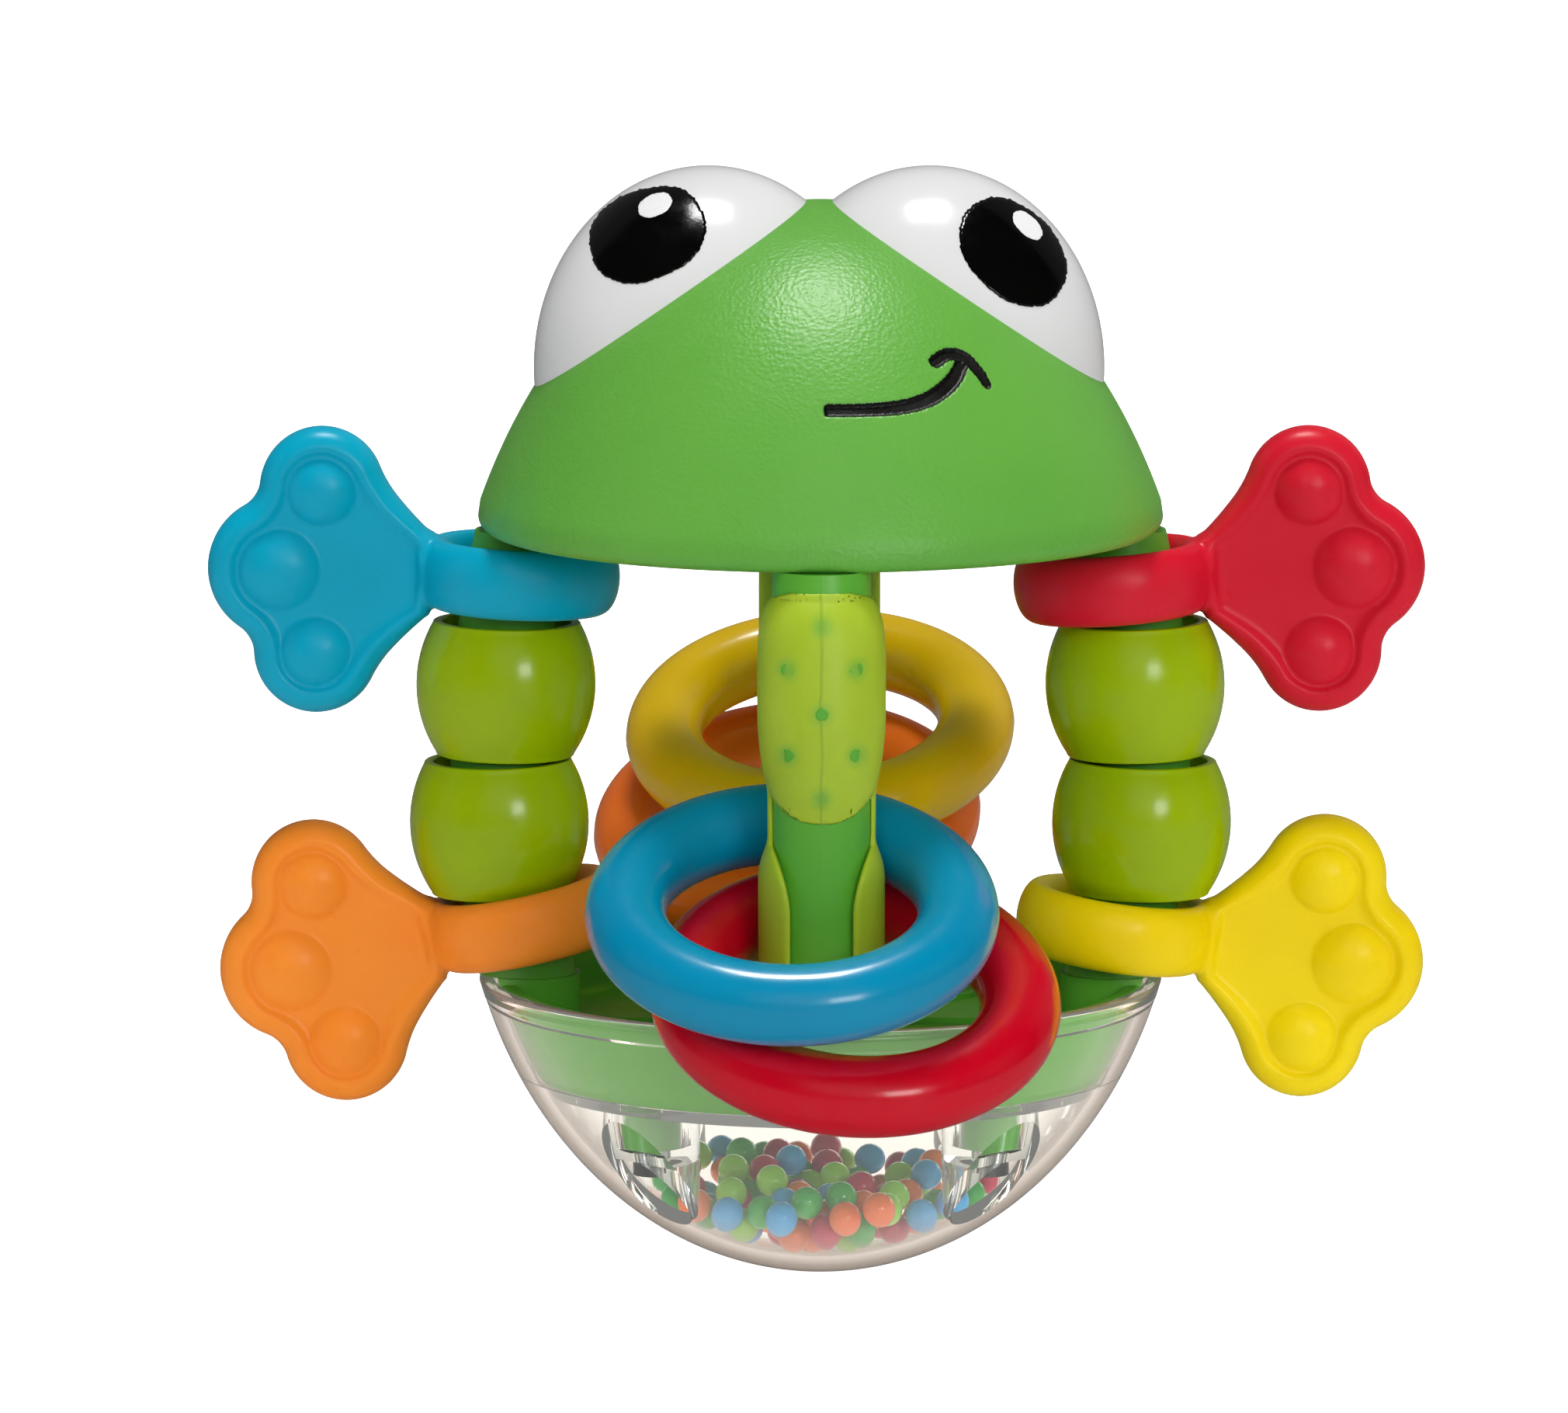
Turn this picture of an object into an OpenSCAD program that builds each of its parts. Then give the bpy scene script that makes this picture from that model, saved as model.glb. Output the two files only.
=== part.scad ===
// Baby rattle in the shape of a frog, in millimetres.
// The origin is the lowest point of the clear bowl, on the central axis. +Z is up and the face looks along -Y.

/* [Head] */
// Radius of the head at its lower edge
head_r = 44; // [43:0.1:45]
// Height of the head's lower edge
head_z = 96.5; // [96:0.1:98]
// Height of the crown, between the eyes
crown_z = 138.9; // [137:0.1:141]
// Half-width of the ellipse that the dome follows
dome_a = 49.4; // [49:0.1:50]
// Half-height of the ellipse that the dome follows
dome_b = 72; // [71:0.1:74]
// Wall thickness of the head and the eyes
head_wall = 2.2; // [1.8:0.1:2.6]

/* [Eyes] */
// Distance of the left eye's centre from the middle
eye_left_x = 14.4; // [14:0.1:15]
// Distance of the right eye's centre from the middle
eye_right_x = 14; // [13.6:0.1:15]
// Height of the eyes' centres
eye_z = 117.4; // [117:0.1:118]
// Half-width of an eye
eye_half_w = 22.4; // [22:0.1:22.8]
// Half-depth of an eye, front to back
eye_half_d = 20.5; // [19.5:0.1:21]
// Half-height of an eye
eye_half_h = 25.9; // [25.4:0.1:26.3]

/* [Posts] */
// Diameter of the four posts
post_d = 12.4; // [12:0.1:12.6]
// Distance of a post's ends from the central axis
post_end_r = 38; // [37.5:0.1:38.2]
// How far a post bows outwards at half height
post_bow = 3.5; // [3:0.1:3.8]
// Diameter of the tenon on each end of a post
tenon_d = 6.4; // [6:0.1:6.6]
// Length of each tenon
tenon_l = 6; // [5:0.5:6]

/* [Grips] */
// Diameter of the soft grip moulded over the front and back posts
grip_d = 16.1; // [15.6:0.1:16.4]
// Height of the middle of the upper pad
pad_z = 80; // [79:0.1:81]
// Half-height of the upper pad
pad_half_h = 14.4; // [13.5:0.1:15]
// Spacing of the dimples in the upper pad, up and down
dimple_pitch = 5.35; // [5:0.05:5.6]
// Diameter of a dimple
dimple_d = 1.6; // [1.2:0.1:2]

/* [Beads] */
// Largest diameter of a bead
bead_d = 23.1; // [22.5:0.1:23.5]
// Height of a bead
bead_h = 17.4; // [17:0.1:17.5]
// Diameter of a bead's end faces
bead_end_d = 18.1; // [17.9:0.1:18.4]
// Diameter of the hole through a bead
bead_bore_d = 16.6; // [16:0.1:17]
// Height of the lower beads' centres
bead_low_z = 57.9; // [57.8:0.1:58]
// Height of the upper beads' centres
bead_high_z = 75.9; // [75.8:0.1:76]

/* [Hands and feet] */
// Height of the centre of the left hand's ring
hand_left_z = 90.2; // [89.8:0.1:90.3]
// Height of the centre of the right hand's ring
hand_right_z = 89.5; // [89.4:0.1:90.2]
// Height of the centre of the left foot's ring
foot_left_z = 45.4; // [45:0.1:45.5]
// Height of the centre of the right foot's ring
foot_right_z = 44.5; // [44.3:0.1:45.2]
// Outer diameter of the ring that holds a hand or a foot
cuff_d = 25.8; // [25.4:0.1:26]
// Diameter of that ring's hole
cuff_hole_d = 16.8; // [16.8:0.1:17]
// Height of that ring
cuff_h = 9; // [8.8:0.1:9]
// Thickness of a hand or a foot
paddle_t = 7.4; // [7:0.1:8]
// Distance from the ring's centre to the middle toe
middle_toe_u = 30.9; // [30.5:0.1:31.5]
// Distance from the ring's centre to the outer toes
outer_toe_u = 25.8; // [25:0.1:26]
// Distance of the outer toes from the middle line
outer_toe_w = 10.5; // [10:0.1:11]

/* [Teething rings] */
// Outer diameter of a teething ring
ring_d = 51.8; // [51:0.1:52]
// Thickness of a teething ring
ring_tube_d = 10.3; // [10:0.1:10.4]

/* [Base] */
// Height of the bowl's rim
rim_z = 38.6; // [38.5:0.1:38.7]
// Half-width of the ellipse that the bowl follows
bowl_a = 46.4; // [46.2:0.1:46.6]
// Half-height of the ellipse that the bowl follows
bowl_b = 55.9; // [55.5:0.1:56.2]
// Wall thickness of the bowl
bowl_wall = 2; // [1.8:0.1:2.1]
// Distance of the screw bosses from the central axis
boss_r = 30; // [29.5:0.1:30]
// Outer diameter of a screw boss in the bowl
boss_d = 12; // [11.5:0.1:12.5]
// Height of the deck between the posts
deck_z = 32; // [31:0.1:32.2]

/* [Rattle balls] */
// Diameter of a ball
ball_d = 4.1; // [3.9:0.05:4.2]
// Number of balls
ball_count = 104; // [60:1:160]

/* [Hidden] */

$fn = 96;
front = -90;
back = 90;
left = 180;
right = 0;
eps = 0.01;

// Posts: an arc through both ends and the bowed middle
post_foot_z = rim_z + 0.2;
post_mid_z = (post_foot_z + head_z) / 2;
post_half_l = (head_z - post_foot_z) / 2;
post_arc_r = (post_half_l ^ 2 + post_bow ^ 2) / (2 * post_bow);
post_mid_r = post_end_r + post_bow;
post_arc_deg = 34;
tenon_r = 35.4;
socket_gap = 0.05;
function post_r_at(z) = post_mid_r - post_arc_r + sqrt(post_arc_r ^ 2 - (z - post_mid_z) ^ 2);

// Grip
strip_d = post_d + 1.2;
side_pad_z = 62;
side_pad_slit = 3.9;

// Beads lean a little with the curve of their post and are widest just above their middle
bead_lean = 1;
bead_belly = 0.5;
bead_high_in = 0.7;
bead_low_out = 0.3;

// Hands and feet
cuff_tube_w = (cuff_d - cuff_hole_d) / 2;
cuff_mid_r = (cuff_d + cuff_hole_d) / 4;
cuff_rise = 0.35;
hand_left_x = -38.7;
hand_right_x = 37.7;
foot_x = 38.1;
middle_toe_r = 9.2;
outer_toe_r = 8;
neck_u = 12.4;
neck_h = 11.4;
neck_root_h = 9.4;
border_w = 3.1;
floor_depth = 1.1;
toe_bump_r = [4.65, 5.4, 4.65];
bump_rise = 2.1;
hand_left_tilt = -2.4;
hand_right_tilt = -4.2;
foot_left_tilt = 11.4;
foot_right_tilt = 8;

// Teething rings: centre, tilt about X, which lowers the side nearest the face, and roll about Y
ring_mid_r = (ring_d - ring_tube_d) / 2;
blue_at = [-3.7, -47.2, 54.4];
blue_turn = [23.6, 0, 0];
red_at = [4.2, -44.2, 43.1];
red_turn = [25.9, 3.5, 0];
yellow_at = [0.1, 45.4, 63.7];
yellow_turn = [23.1, -3.3, 0];
orange_at = [-4.3, 46, 51.2];
orange_turn = [22.7, -5.8, 0];

// Base
steps = 28;
rim_w = 2.6;
plate_gap = 0.2;
plate_t = 2;
lid_z = 25.4;
lid_t = 1.6;
skirt_z = lid_z + lid_t;
shelf_z = 18.5;
shelf_t = 2;
well_d = 9.4;
screw_post_d = 7.1;
screw_post_gap = 0.2;
screw_d = 2.8;
screw_head_d = 5.6;
screw_head_h = 2.2;
screw_l = 9.5;
seat_d = 13.2;
seat_r = 37.6;

// Radius of an ellipse of revolution whose middle is at height mid
function ellipse_r(z, a, b, mid) = a * sqrt(max(0, 1 - ((z - mid) / b) ^ 2));
function bowl_r(z, in = 0) = ellipse_r(z, bowl_a - in, bowl_b - in, bowl_b);
dome_mid = crown_z - dome_b;
function dome_r(z, in = 0) = ellipse_r(z, dome_a - in, dome_b - in, dome_mid);

// Points down the dome from its crown to height z_end, closer together near the crown
function dome_points(z_end, in = 0) = [
  for (i = [0 : steps])
    let (z = crown_z - in - (crown_z - in - z_end) * (i / steps) ^ 2) [dome_r(z, in), z]
];
// Points up the bowl from its lowest point to height z_end
function bowl_points(z_end, in = 0) = [
  for (i = [0 : steps]) let (z = in + (z_end - in) * (i / steps) ^ 2) [bowl_r(z, in), z]
];
function reversed(list) = [for (i = [len(list) - 1 : -1 : 0]) list[i]];

module at_azimuth(deg) {
  rotate([0, 0, deg]) children();
}

// ---------- Head ----------
lip_r = 2;
lip_z = head_z + lip_r;
dome_end_z = 100.4;

module head_shell() {
  lip = [for (a = [0 : 22.5 : 90]) [head_r - lip_r + lip_r * cos(a), lip_z - lip_r * sin(a)]];
  inner = concat(dome_points(dome_end_z, head_wall), [[head_r - head_wall, head_z]]);
  color("#5cb338")
    rotate_extrude($fn = 180)
      polygon(concat(dome_points(dome_end_z), lip, reversed(inner)));
}

module ellipsoid(rx, ry, rz) {
  scale([rx, ry, rz]) sphere(r = 1, $fn = 96);
}

// A white cap that stands on the left of the dome, x from the middle
module eye(x) {
  color("#f2f2f2")
    difference() {
      translate([-x, 0, eye_z]) ellipsoid(eye_half_w, eye_half_d, eye_half_h);
      translate([-x, 0, eye_z])
        ellipsoid(eye_half_w - head_wall, eye_half_d - head_wall, eye_half_h - head_wall);
      translate([0, 0, dome_mid]) ellipsoid(dome_a, dome_a, dome_b);
    }
}
module eye_left() { eye(eye_left_x); }
module eye_right() { mirror([1, 0, 0]) eye(eye_right_x); }

// Closes the head from below and holds the posts' upper tenons
module head_plate() {
  color("#4a9c2c")
    difference() {
      union() {
        translate([0, 0, head_z]) cylinder(r = head_r - head_wall - 0.3, h = plate_t);
        for (deg = [front, back, left, right]) at_azimuth(deg)
          translate([tenon_r, 0, head_z]) cylinder(d = tenon_d + 4, h = tenon_l);
        for (deg = [45, 135]) at_azimuth(deg)
          translate([-34, -0.8, head_z + plate_t - eps]) cube([68, 1.6, 3]);
      }
      for (deg = [front, back, left, right]) at_azimuth(deg)
        translate([tenon_r, 0, head_z - 1]) cylinder(d = tenon_d + 2 * socket_gap, h = tenon_l + 2);
    }
}

// ---------- Posts and grips ----------
// A bar of diameter d along the arc of a post, in the direction of +X
module post_arc(d) {
  translate([post_mid_r - post_arc_r, 0, post_mid_z])
    rotate([90, 0, 0]) rotate([0, 0, -post_arc_deg / 2])
      rotate_extrude(angle = post_arc_deg, $fn = 240) translate([post_arc_r, 0]) circle(d = d, $fn = 48);
}

module post_band(d, z_low, z_high) {
  intersection() {
    post_arc(d);
    translate([20, -15, z_low]) cube([40, 30, z_high - z_low]);
  }
}

module post(deg) {
  color("#55a834") at_azimuth(deg) {
    post_band(post_d, post_foot_z, head_z);
    translate([tenon_r, 0, head_z - 1]) cylinder(d = tenon_d, h = tenon_l + 0.6);
    translate([tenon_r, 0, post_foot_z - tenon_l]) cylinder(d = tenon_d, h = tenon_l + 1);
  }
}
module post_front() { post(front); }
module post_back() { post(back); }
module post_left() { post(left); }
module post_right() { post(right); }

// Rounded outline of the upper pad, across the post (x) and up it (y)
module pad_outline() {
  power = 3.2;
  half_w = grip_d / 2 + 0.4;
  polygon([
    for (a = [0 : 6 : 354])
      [half_w * sign(cos(a)) * abs(cos(a)) ^ (2 / power),
       pad_half_h * sign(sin(a)) * abs(sin(a)) ^ (2 / power)]
  ]);
}

// Opening that the side pads leave on the outer face, widest at its top
module slit_outline() {
  rise = side_pad_z - 46;
  polygon(concat(
    [[-side_pad_slit, -12], [side_pad_slit, -12]],
    [for (a = [0 : 10 : 90]) [side_pad_slit + 5 * (1 - cos(a)), rise * sin(a)]],
    [for (a = [90 : -10 : 0]) [-side_pad_slit - 5 * (1 - cos(a)), rise * sin(a)]]
  ));
}

// Stands a drawing up in the plane across a post and extrudes it outwards from x_low to x_high
module across_post(x_low, x_high, z) {
  translate([x_low, 0, z]) rotate([90, 0, 90]) linear_extrude(x_high - x_low) children();
}

module grip(deg) {
  color("#a5c832") at_azimuth(deg)
    difference() {
      union() {
        intersection() {
          post_arc(grip_d);
          across_post(post_mid_r - 2.6, post_mid_r + 12, pad_z) pad_outline();
        }
        difference() {
          intersection() {
            post_band(grip_d - 0.2, 43, side_pad_z);
            translate([post_mid_r - 3.6, -10, 40]) cube([20, 20, 30]);
          }
          across_post(post_mid_r, post_mid_r + 12, 46) slit_outline();
        }
        intersection() {
          post_band(strip_d, side_pad_z - 3, pad_z - 6);
          translate([post_mid_r - 1.6, -10, 50]) cube([3, 20, 30]);
        }
      }
      post_arc(post_d);
      for (i = [-2 : 2]) {
        side = i % 2 == 0 ? [0] : [-1, 1];
        for (s = side) translate([post_mid_r + 2, s * 4.3, pad_z - 0.3 + i * dimple_pitch])
          rotate([0, 90, 0]) cylinder(d = dimple_d, h = 10, $fn = 24);
      }
    }
}
module grip_front() { grip(front); }
module grip_back() { grip(back); }

// ---------- Beads ----------
// Barrel standing on the origin, hollow along Z
module bead(shade) {
  half = bead_h / 2;
  swell = (bead_d - bead_end_d) / 2;
  arc_r = (half ^ 2 + swell ^ 2) / (2 * swell);
  outer = [for (i = [-8 : 8])
    let (z = half * i / 8) [bead_d / 2 - arc_r + sqrt(arc_r ^ 2 - (z - bead_belly) ^ 2), z]];
  color(shade)
    rotate_extrude() polygon(concat(outer, [[bead_bore_d / 2, half], [bead_bore_d / 2, -half]]));
}
module bead_on(deg, z, out, lean) {
  at_azimuth(deg) translate([post_r_at(z) + out, 0, z]) rotate([0, lean, 0]) bead("#93b81b");
}
module bead_left_upper() { bead_on(left, bead_high_z, -bead_high_in, -bead_lean); }
module bead_left_lower() { bead_on(left, bead_low_z, bead_low_out, bead_lean); }
module bead_right_upper() { bead_on(right, bead_high_z, -bead_high_in, -bead_lean); }
module bead_right_lower() { bead_on(right, bead_low_z, bead_low_out, bead_lean); }

// ---------- Hands and feet ----------
toes = [[outer_toe_u, outer_toe_w], [middle_toe_u, 0], [outer_toe_u, -outer_toe_w]];

// Outline in u, outwards from the ring, and w, up
module paddle_outline() {
  flare_r = 16;
  notch_r = 4;
  offset(r = -flare_r) offset(r = flare_r) {
    for (i = [0, 2]) translate(toes[i]) circle(r = outer_toe_r, $fn = 32);
    translate([cuff_mid_r, -neck_root_h / 2]) square([outer_toe_u - cuff_mid_r, neck_root_h]);
    translate([neck_u, -neck_h / 2]) square([outer_toe_u - neck_u, neck_h]);
  }
  offset(r = -notch_r) offset(r = notch_r) {
    for (i = [0, 2]) translate(toes[i]) circle(r = outer_toe_r, $fn = 32);
    translate(toes[1]) circle(r = middle_toe_r, $fn = 32);
  }
}

// Domed button of radius r that rises by bump_rise, along +Z
module toe_bump(r) {
  ball = (r ^ 2 + bump_rise ^ 2) / (2 * bump_rise);
  intersection() {
    translate([0, 0, bump_rise - ball]) sphere(r = ball, $fn = 60);
    translate([0, 0, -1]) cylinder(r = r, h = bump_rise + 2, $fn = 60);
  }
}

// Ring about Z at the origin with the paddle reaching along +X in the XZ plane
module paddle(shade) {
  floor_half_t = paddle_t / 2 - floor_depth;
  color(shade) {
    rotate_extrude() translate([cuff_mid_r, cuff_rise]) scale([cuff_tube_w / cuff_h, 1]) circle(d = cuff_h, $fn = 48);
    rotate([90, 0, 0]) {
      difference() {
        translate([0, 0, -paddle_t / 2]) linear_extrude(paddle_t) paddle_outline($fn = 40);
        for (side = [0, 1]) mirror([0, 0, side]) translate([0, 0, floor_half_t])
          linear_extrude(paddle_t) intersection() {
            offset(r = -border_w) paddle_outline($fn = 40);
            translate([17, -25]) square([50, 50]);
          }
      }
      for (side = [0, 1], i = [0 : 2]) mirror([0, 0, side])
        translate([toes[i].x, toes[i].y, floor_half_t - eps]) toe_bump(toe_bump_r[i]);
    }
  }
}
module hand_left() {
  translate([hand_left_x, 0, hand_left_z]) rotate([0, 0, 180]) rotate([0, hand_left_tilt, 0]) paddle("#109dba");
}
module hand_right() {
  translate([hand_right_x, 0, hand_right_z]) rotate([0, hand_right_tilt, 0]) paddle("#cf1f33");
}
module foot_left() {
  translate([-foot_x, 0, foot_left_z]) rotate([0, 0, 180]) rotate([0, foot_left_tilt, 0]) paddle("#f48220");
}
module foot_right() {
  translate([foot_x, 0, foot_right_z]) rotate([0, foot_right_tilt, 0]) paddle("#f0dc14");
}

// ---------- Teething rings ----------
module teething_ring(at, turn, shade) {
  color(shade) translate(at) rotate(turn)
    rotate_extrude($fn = 120) translate([ring_mid_r, 0]) circle(d = ring_tube_d, $fn = 48);
}
module ring_blue() { teething_ring(blue_at, blue_turn, "#0f7fa5"); }
module ring_red() { teething_ring(red_at, red_turn, "#c5122e"); }
module ring_yellow() { teething_ring(yellow_at, yellow_turn, "#e0b400"); }
module ring_orange() { teething_ring(orange_at, orange_turn, "#e5661c"); }

// ---------- Base ----------
boss_places = [for (deg = [45 : 90 : 315]) [boss_r * cos(deg), boss_r * sin(deg)]];

module at_bosses() {
  for (p = boss_places) translate([p.x, p.y, 0]) children();
}

module bowl_solid(in = 0, top = rim_z) {
  rotate_extrude($fn = 180) polygon(concat(bowl_points(top, in), [[0, top]]));
}

// Clear bowl with four screw bosses that are open at the bottom
module bowl() {
  color("#dfe8ea", 0.35)
    difference() {
      union() {
        difference() {
          bowl_solid();
          bowl_solid(bowl_wall, rim_z + 1);
        }
        intersection() {
          bowl_solid();
          at_bosses() translate([0, 0, 3]) cylinder(d = boss_d, h = lid_z - 3, $fn = 60);
        }
      }
      at_bosses() {
        translate([0, 0, -1]) cylinder(d = well_d, h = shelf_z + 1, $fn = 60);
        cylinder(d = screw_d + 0.6, h = lid_z + 1, $fn = 32);
        translate([0, 0, shelf_z + shelf_t])
          cylinder(d = screw_post_d + 2 * screw_post_gap, h = 10, $fn = 60);
      }
    }
}

// Clear disc that shuts the ball chamber
module chamber_lid() {
  color("#dfe8ea", 0.35)
    difference() {
      translate([0, 0, lid_z]) cylinder(r = bowl_r(lid_z, bowl_wall) - 0.3, h = lid_t, $fn = 180);
      at_bosses() translate([0, 0, lid_z - 1])
        cylinder(d = screw_post_d + 2 * screw_post_gap, h = lid_t + 2, $fn = 60);
    }
}

// Green plate with a recessed deck, a skirt down to the lid, four post seats and four screw posts
module base_plate() {
  in = bowl_wall + plate_gap;
  outer = [for (i = [0 : 8]) let (z = skirt_z + (rim_z - 0.6 - skirt_z) * i / 8) [bowl_r(z, in), z]];
  inner_low = bowl_r(skirt_z, in) - rim_w;
  inner_high = bowl_r(rim_z, in) - rim_w;
  deck_low = deck_z - plate_t;
  color("#4a9c2c")
    difference() {
      union() {
        rotate_extrude($fn = 180)
          polygon(concat(outer, [[inner_high, rim_z - 0.6], [inner_high - 1, deck_z], [0, deck_z],
                                 [0, deck_low], [inner_low, deck_low], [inner_low, skirt_z]]));
        intersection() {
          for (deg = [front, back, left, right]) at_azimuth(deg)
            translate([seat_r, 0, deck_z - 1]) cylinder(d = seat_d, h = post_foot_z - deck_z + 1);
          bowl_solid(in, post_foot_z);
        }
        at_bosses() translate([0, 0, shelf_z + shelf_t])
          cylinder(d = screw_post_d, h = deck_low - shelf_z - shelf_t + eps, $fn = 60);
        for (deg = [0 : 45 : 315]) at_azimuth(deg)
          translate([9, -0.6, deck_z - eps]) cube([deg % 90 == 0 ? 21 : 29, 1.2, 0.8]);
        translate([0, 0, deck_z - eps]) difference() {
          cylinder(r = 10, h = 0.8);
          translate([0, 0, -1]) cylinder(r = 8.8, h = 3);
        }
      }
      for (deg = [front, back, left, right]) at_azimuth(deg)
        translate([tenon_r, 0, post_foot_z - tenon_l - 0.4])
          cylinder(d = tenon_d + 2 * socket_gap, h = tenon_l + 2, $fn = 60);
      at_bosses() translate([0, 0, shelf_z + shelf_t - 1])
        cylinder(d = screw_d + 0.1, h = screw_l - shelf_t + 2, $fn = 32);
    }
}

// Four pan-head screws that pull the bowl up against the base plate
module base_screws() {
  color("silver") at_bosses() difference() {
    union() {
      translate([0, 0, shelf_z - screw_head_h]) cylinder(d = screw_head_d, h = screw_head_h, $fn = 48);
      translate([0, 0, shelf_z - eps]) cylinder(d = screw_d, h = screw_l, $fn = 32);
    }
    for (deg = [0, 90]) rotate([0, 0, deg])
      translate([-1.6, -0.35, shelf_z - screw_head_h - 1]) cube([3.2, 0.7, 2]);
  }
}

// ---------- Rattle balls ----------
// The balls are poured one by one: each falls at the lowest of several places chosen by chance.
ball_gap = 0.08;
wall_gap = 0.3;
ball_pitch = ball_d + ball_gap;
tries = 22;
pour_r = 25;
ball_in = bowl_wall + ball_d / 2 + wall_gap;
boss_clear = boss_d / 2 + ball_d / 2 + wall_gap;

// Height at which a ball's centre rests on the bowl
function floor_z(p) = bowl_b - (bowl_b - ball_in) * sqrt(max(0, 1 - (norm(p) / (bowl_a - ball_in)) ^ 2));
function rest_z(p, balls) = max(concat([floor_z(p)], [
  for (b = balls) let (d = norm([b.x - p.x, b.y - p.y])) if (d < ball_pitch)
    b.z + sqrt(ball_pitch ^ 2 - d ^ 2)
]));
function beside_boss(p) = min([for (b = boss_places) norm([p.x - b.x, p.y - b.y])]) < boss_clear;
function landing(seed, balls) = [
  for (i = [0 : tries - 1])
    let (spot = rands(0, 1, 2, seed * tries + i),
         r = pour_r * sqrt(spot.x),
         p = [r * cos(360 * spot.y), r * sin(360 * spot.y)])
    if (!beside_boss(p)) [p.x, p.y, rest_z(p, balls)]
];
function lowest(list) = let (low = min([for (b = list) b.z])) [for (b = list) if (b.z == low) b][0];
function pour(count, balls = []) = len(balls) == count ? balls
  : pour(count, concat(balls, [lowest(landing(len(balls) + 1, balls))]));

module balls(first, shade) {
  heap = pour(ball_count);
  color(shade)
    for (i = [first : 5 : ball_count - 1]) translate(heap[i]) sphere(d = ball_d, $fn = 32);
}
module balls_coral() { balls(0, "#e8603c"); }
module balls_lime() { balls(1, "#8fc63c"); }
module balls_green() { balls(2, "#2f9440"); }
module balls_blue() { balls(3, "#3b8fc4"); }
module balls_crimson() { balls(4, "#b32045"); }

head_shell();
eye_left();
eye_right();
head_plate();
post_front();
post_back();
post_left();
post_right();
grip_front();
grip_back();
hand_left();
hand_right();
foot_left();
foot_right();
bead_left_upper();
bead_left_lower();
bead_right_upper();
bead_right_lower();
ring_blue();
ring_red();
ring_yellow();
ring_orange();
base_plate();
bowl();
chamber_lid();
base_screws();
balls_coral();
balls_lime();
balls_green();
balls_blue();
balls_crimson();
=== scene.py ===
import math

import bpy
import numpy as np
from mathutils import Matrix, Vector


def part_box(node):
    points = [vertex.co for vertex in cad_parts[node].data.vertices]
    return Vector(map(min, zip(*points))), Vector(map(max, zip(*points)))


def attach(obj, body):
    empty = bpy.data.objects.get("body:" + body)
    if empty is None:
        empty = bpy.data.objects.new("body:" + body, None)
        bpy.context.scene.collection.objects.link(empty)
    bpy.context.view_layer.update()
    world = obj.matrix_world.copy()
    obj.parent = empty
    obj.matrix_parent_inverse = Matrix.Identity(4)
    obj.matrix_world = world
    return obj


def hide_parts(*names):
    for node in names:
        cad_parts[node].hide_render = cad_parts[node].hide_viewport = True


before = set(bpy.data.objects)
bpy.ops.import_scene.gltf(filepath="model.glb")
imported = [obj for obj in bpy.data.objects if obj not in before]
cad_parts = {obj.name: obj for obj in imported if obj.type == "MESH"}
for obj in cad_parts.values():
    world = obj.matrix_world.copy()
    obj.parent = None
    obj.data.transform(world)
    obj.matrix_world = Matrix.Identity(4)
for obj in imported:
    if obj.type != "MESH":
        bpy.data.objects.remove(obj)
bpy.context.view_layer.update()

scene = bpy.context.scene
MM = 0.001


# ---------- Camera, light and floor ----------
VIEW_ELEVATION = math.radians(8.5)
VIEW_TARGET = Vector((-4.7, 0, 73.4)) * MM
VIEW_DISTANCE = 1.4
SENSOR_W, LENS = 36, 249.5


def add_camera():
    data = bpy.data.cameras.new("camera")
    data.sensor_width = SENSOR_W
    data.lens = LENS
    data.clip_end = 50
    camera = bpy.data.objects.new("camera", data)
    scene.collection.objects.link(camera)
    away = Vector((0, -math.cos(VIEW_ELEVATION), math.sin(VIEW_ELEVATION)))
    camera.location = VIEW_TARGET + away * VIEW_DISTANCE
    camera.rotation_euler = (math.pi / 2 - VIEW_ELEVATION, 0, 0)
    scene.camera = camera


def aim(obj, place, target):
    obj.location = place
    obj.rotation_euler = (Vector(target) - Vector(place)).to_track_quat("-Z", "Y").to_euler()


def add_area(name, place, target, width, height, power, glossy=True):
    data = bpy.data.lights.new(name, "AREA")
    data.shape = "RECTANGLE"
    data.size, data.size_y = width, height
    data.energy = power
    lamp = bpy.data.objects.new(name, data)
    lamp.visible_glossy = glossy
    scene.collection.objects.link(lamp)
    aim(lamp, place, target)


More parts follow.
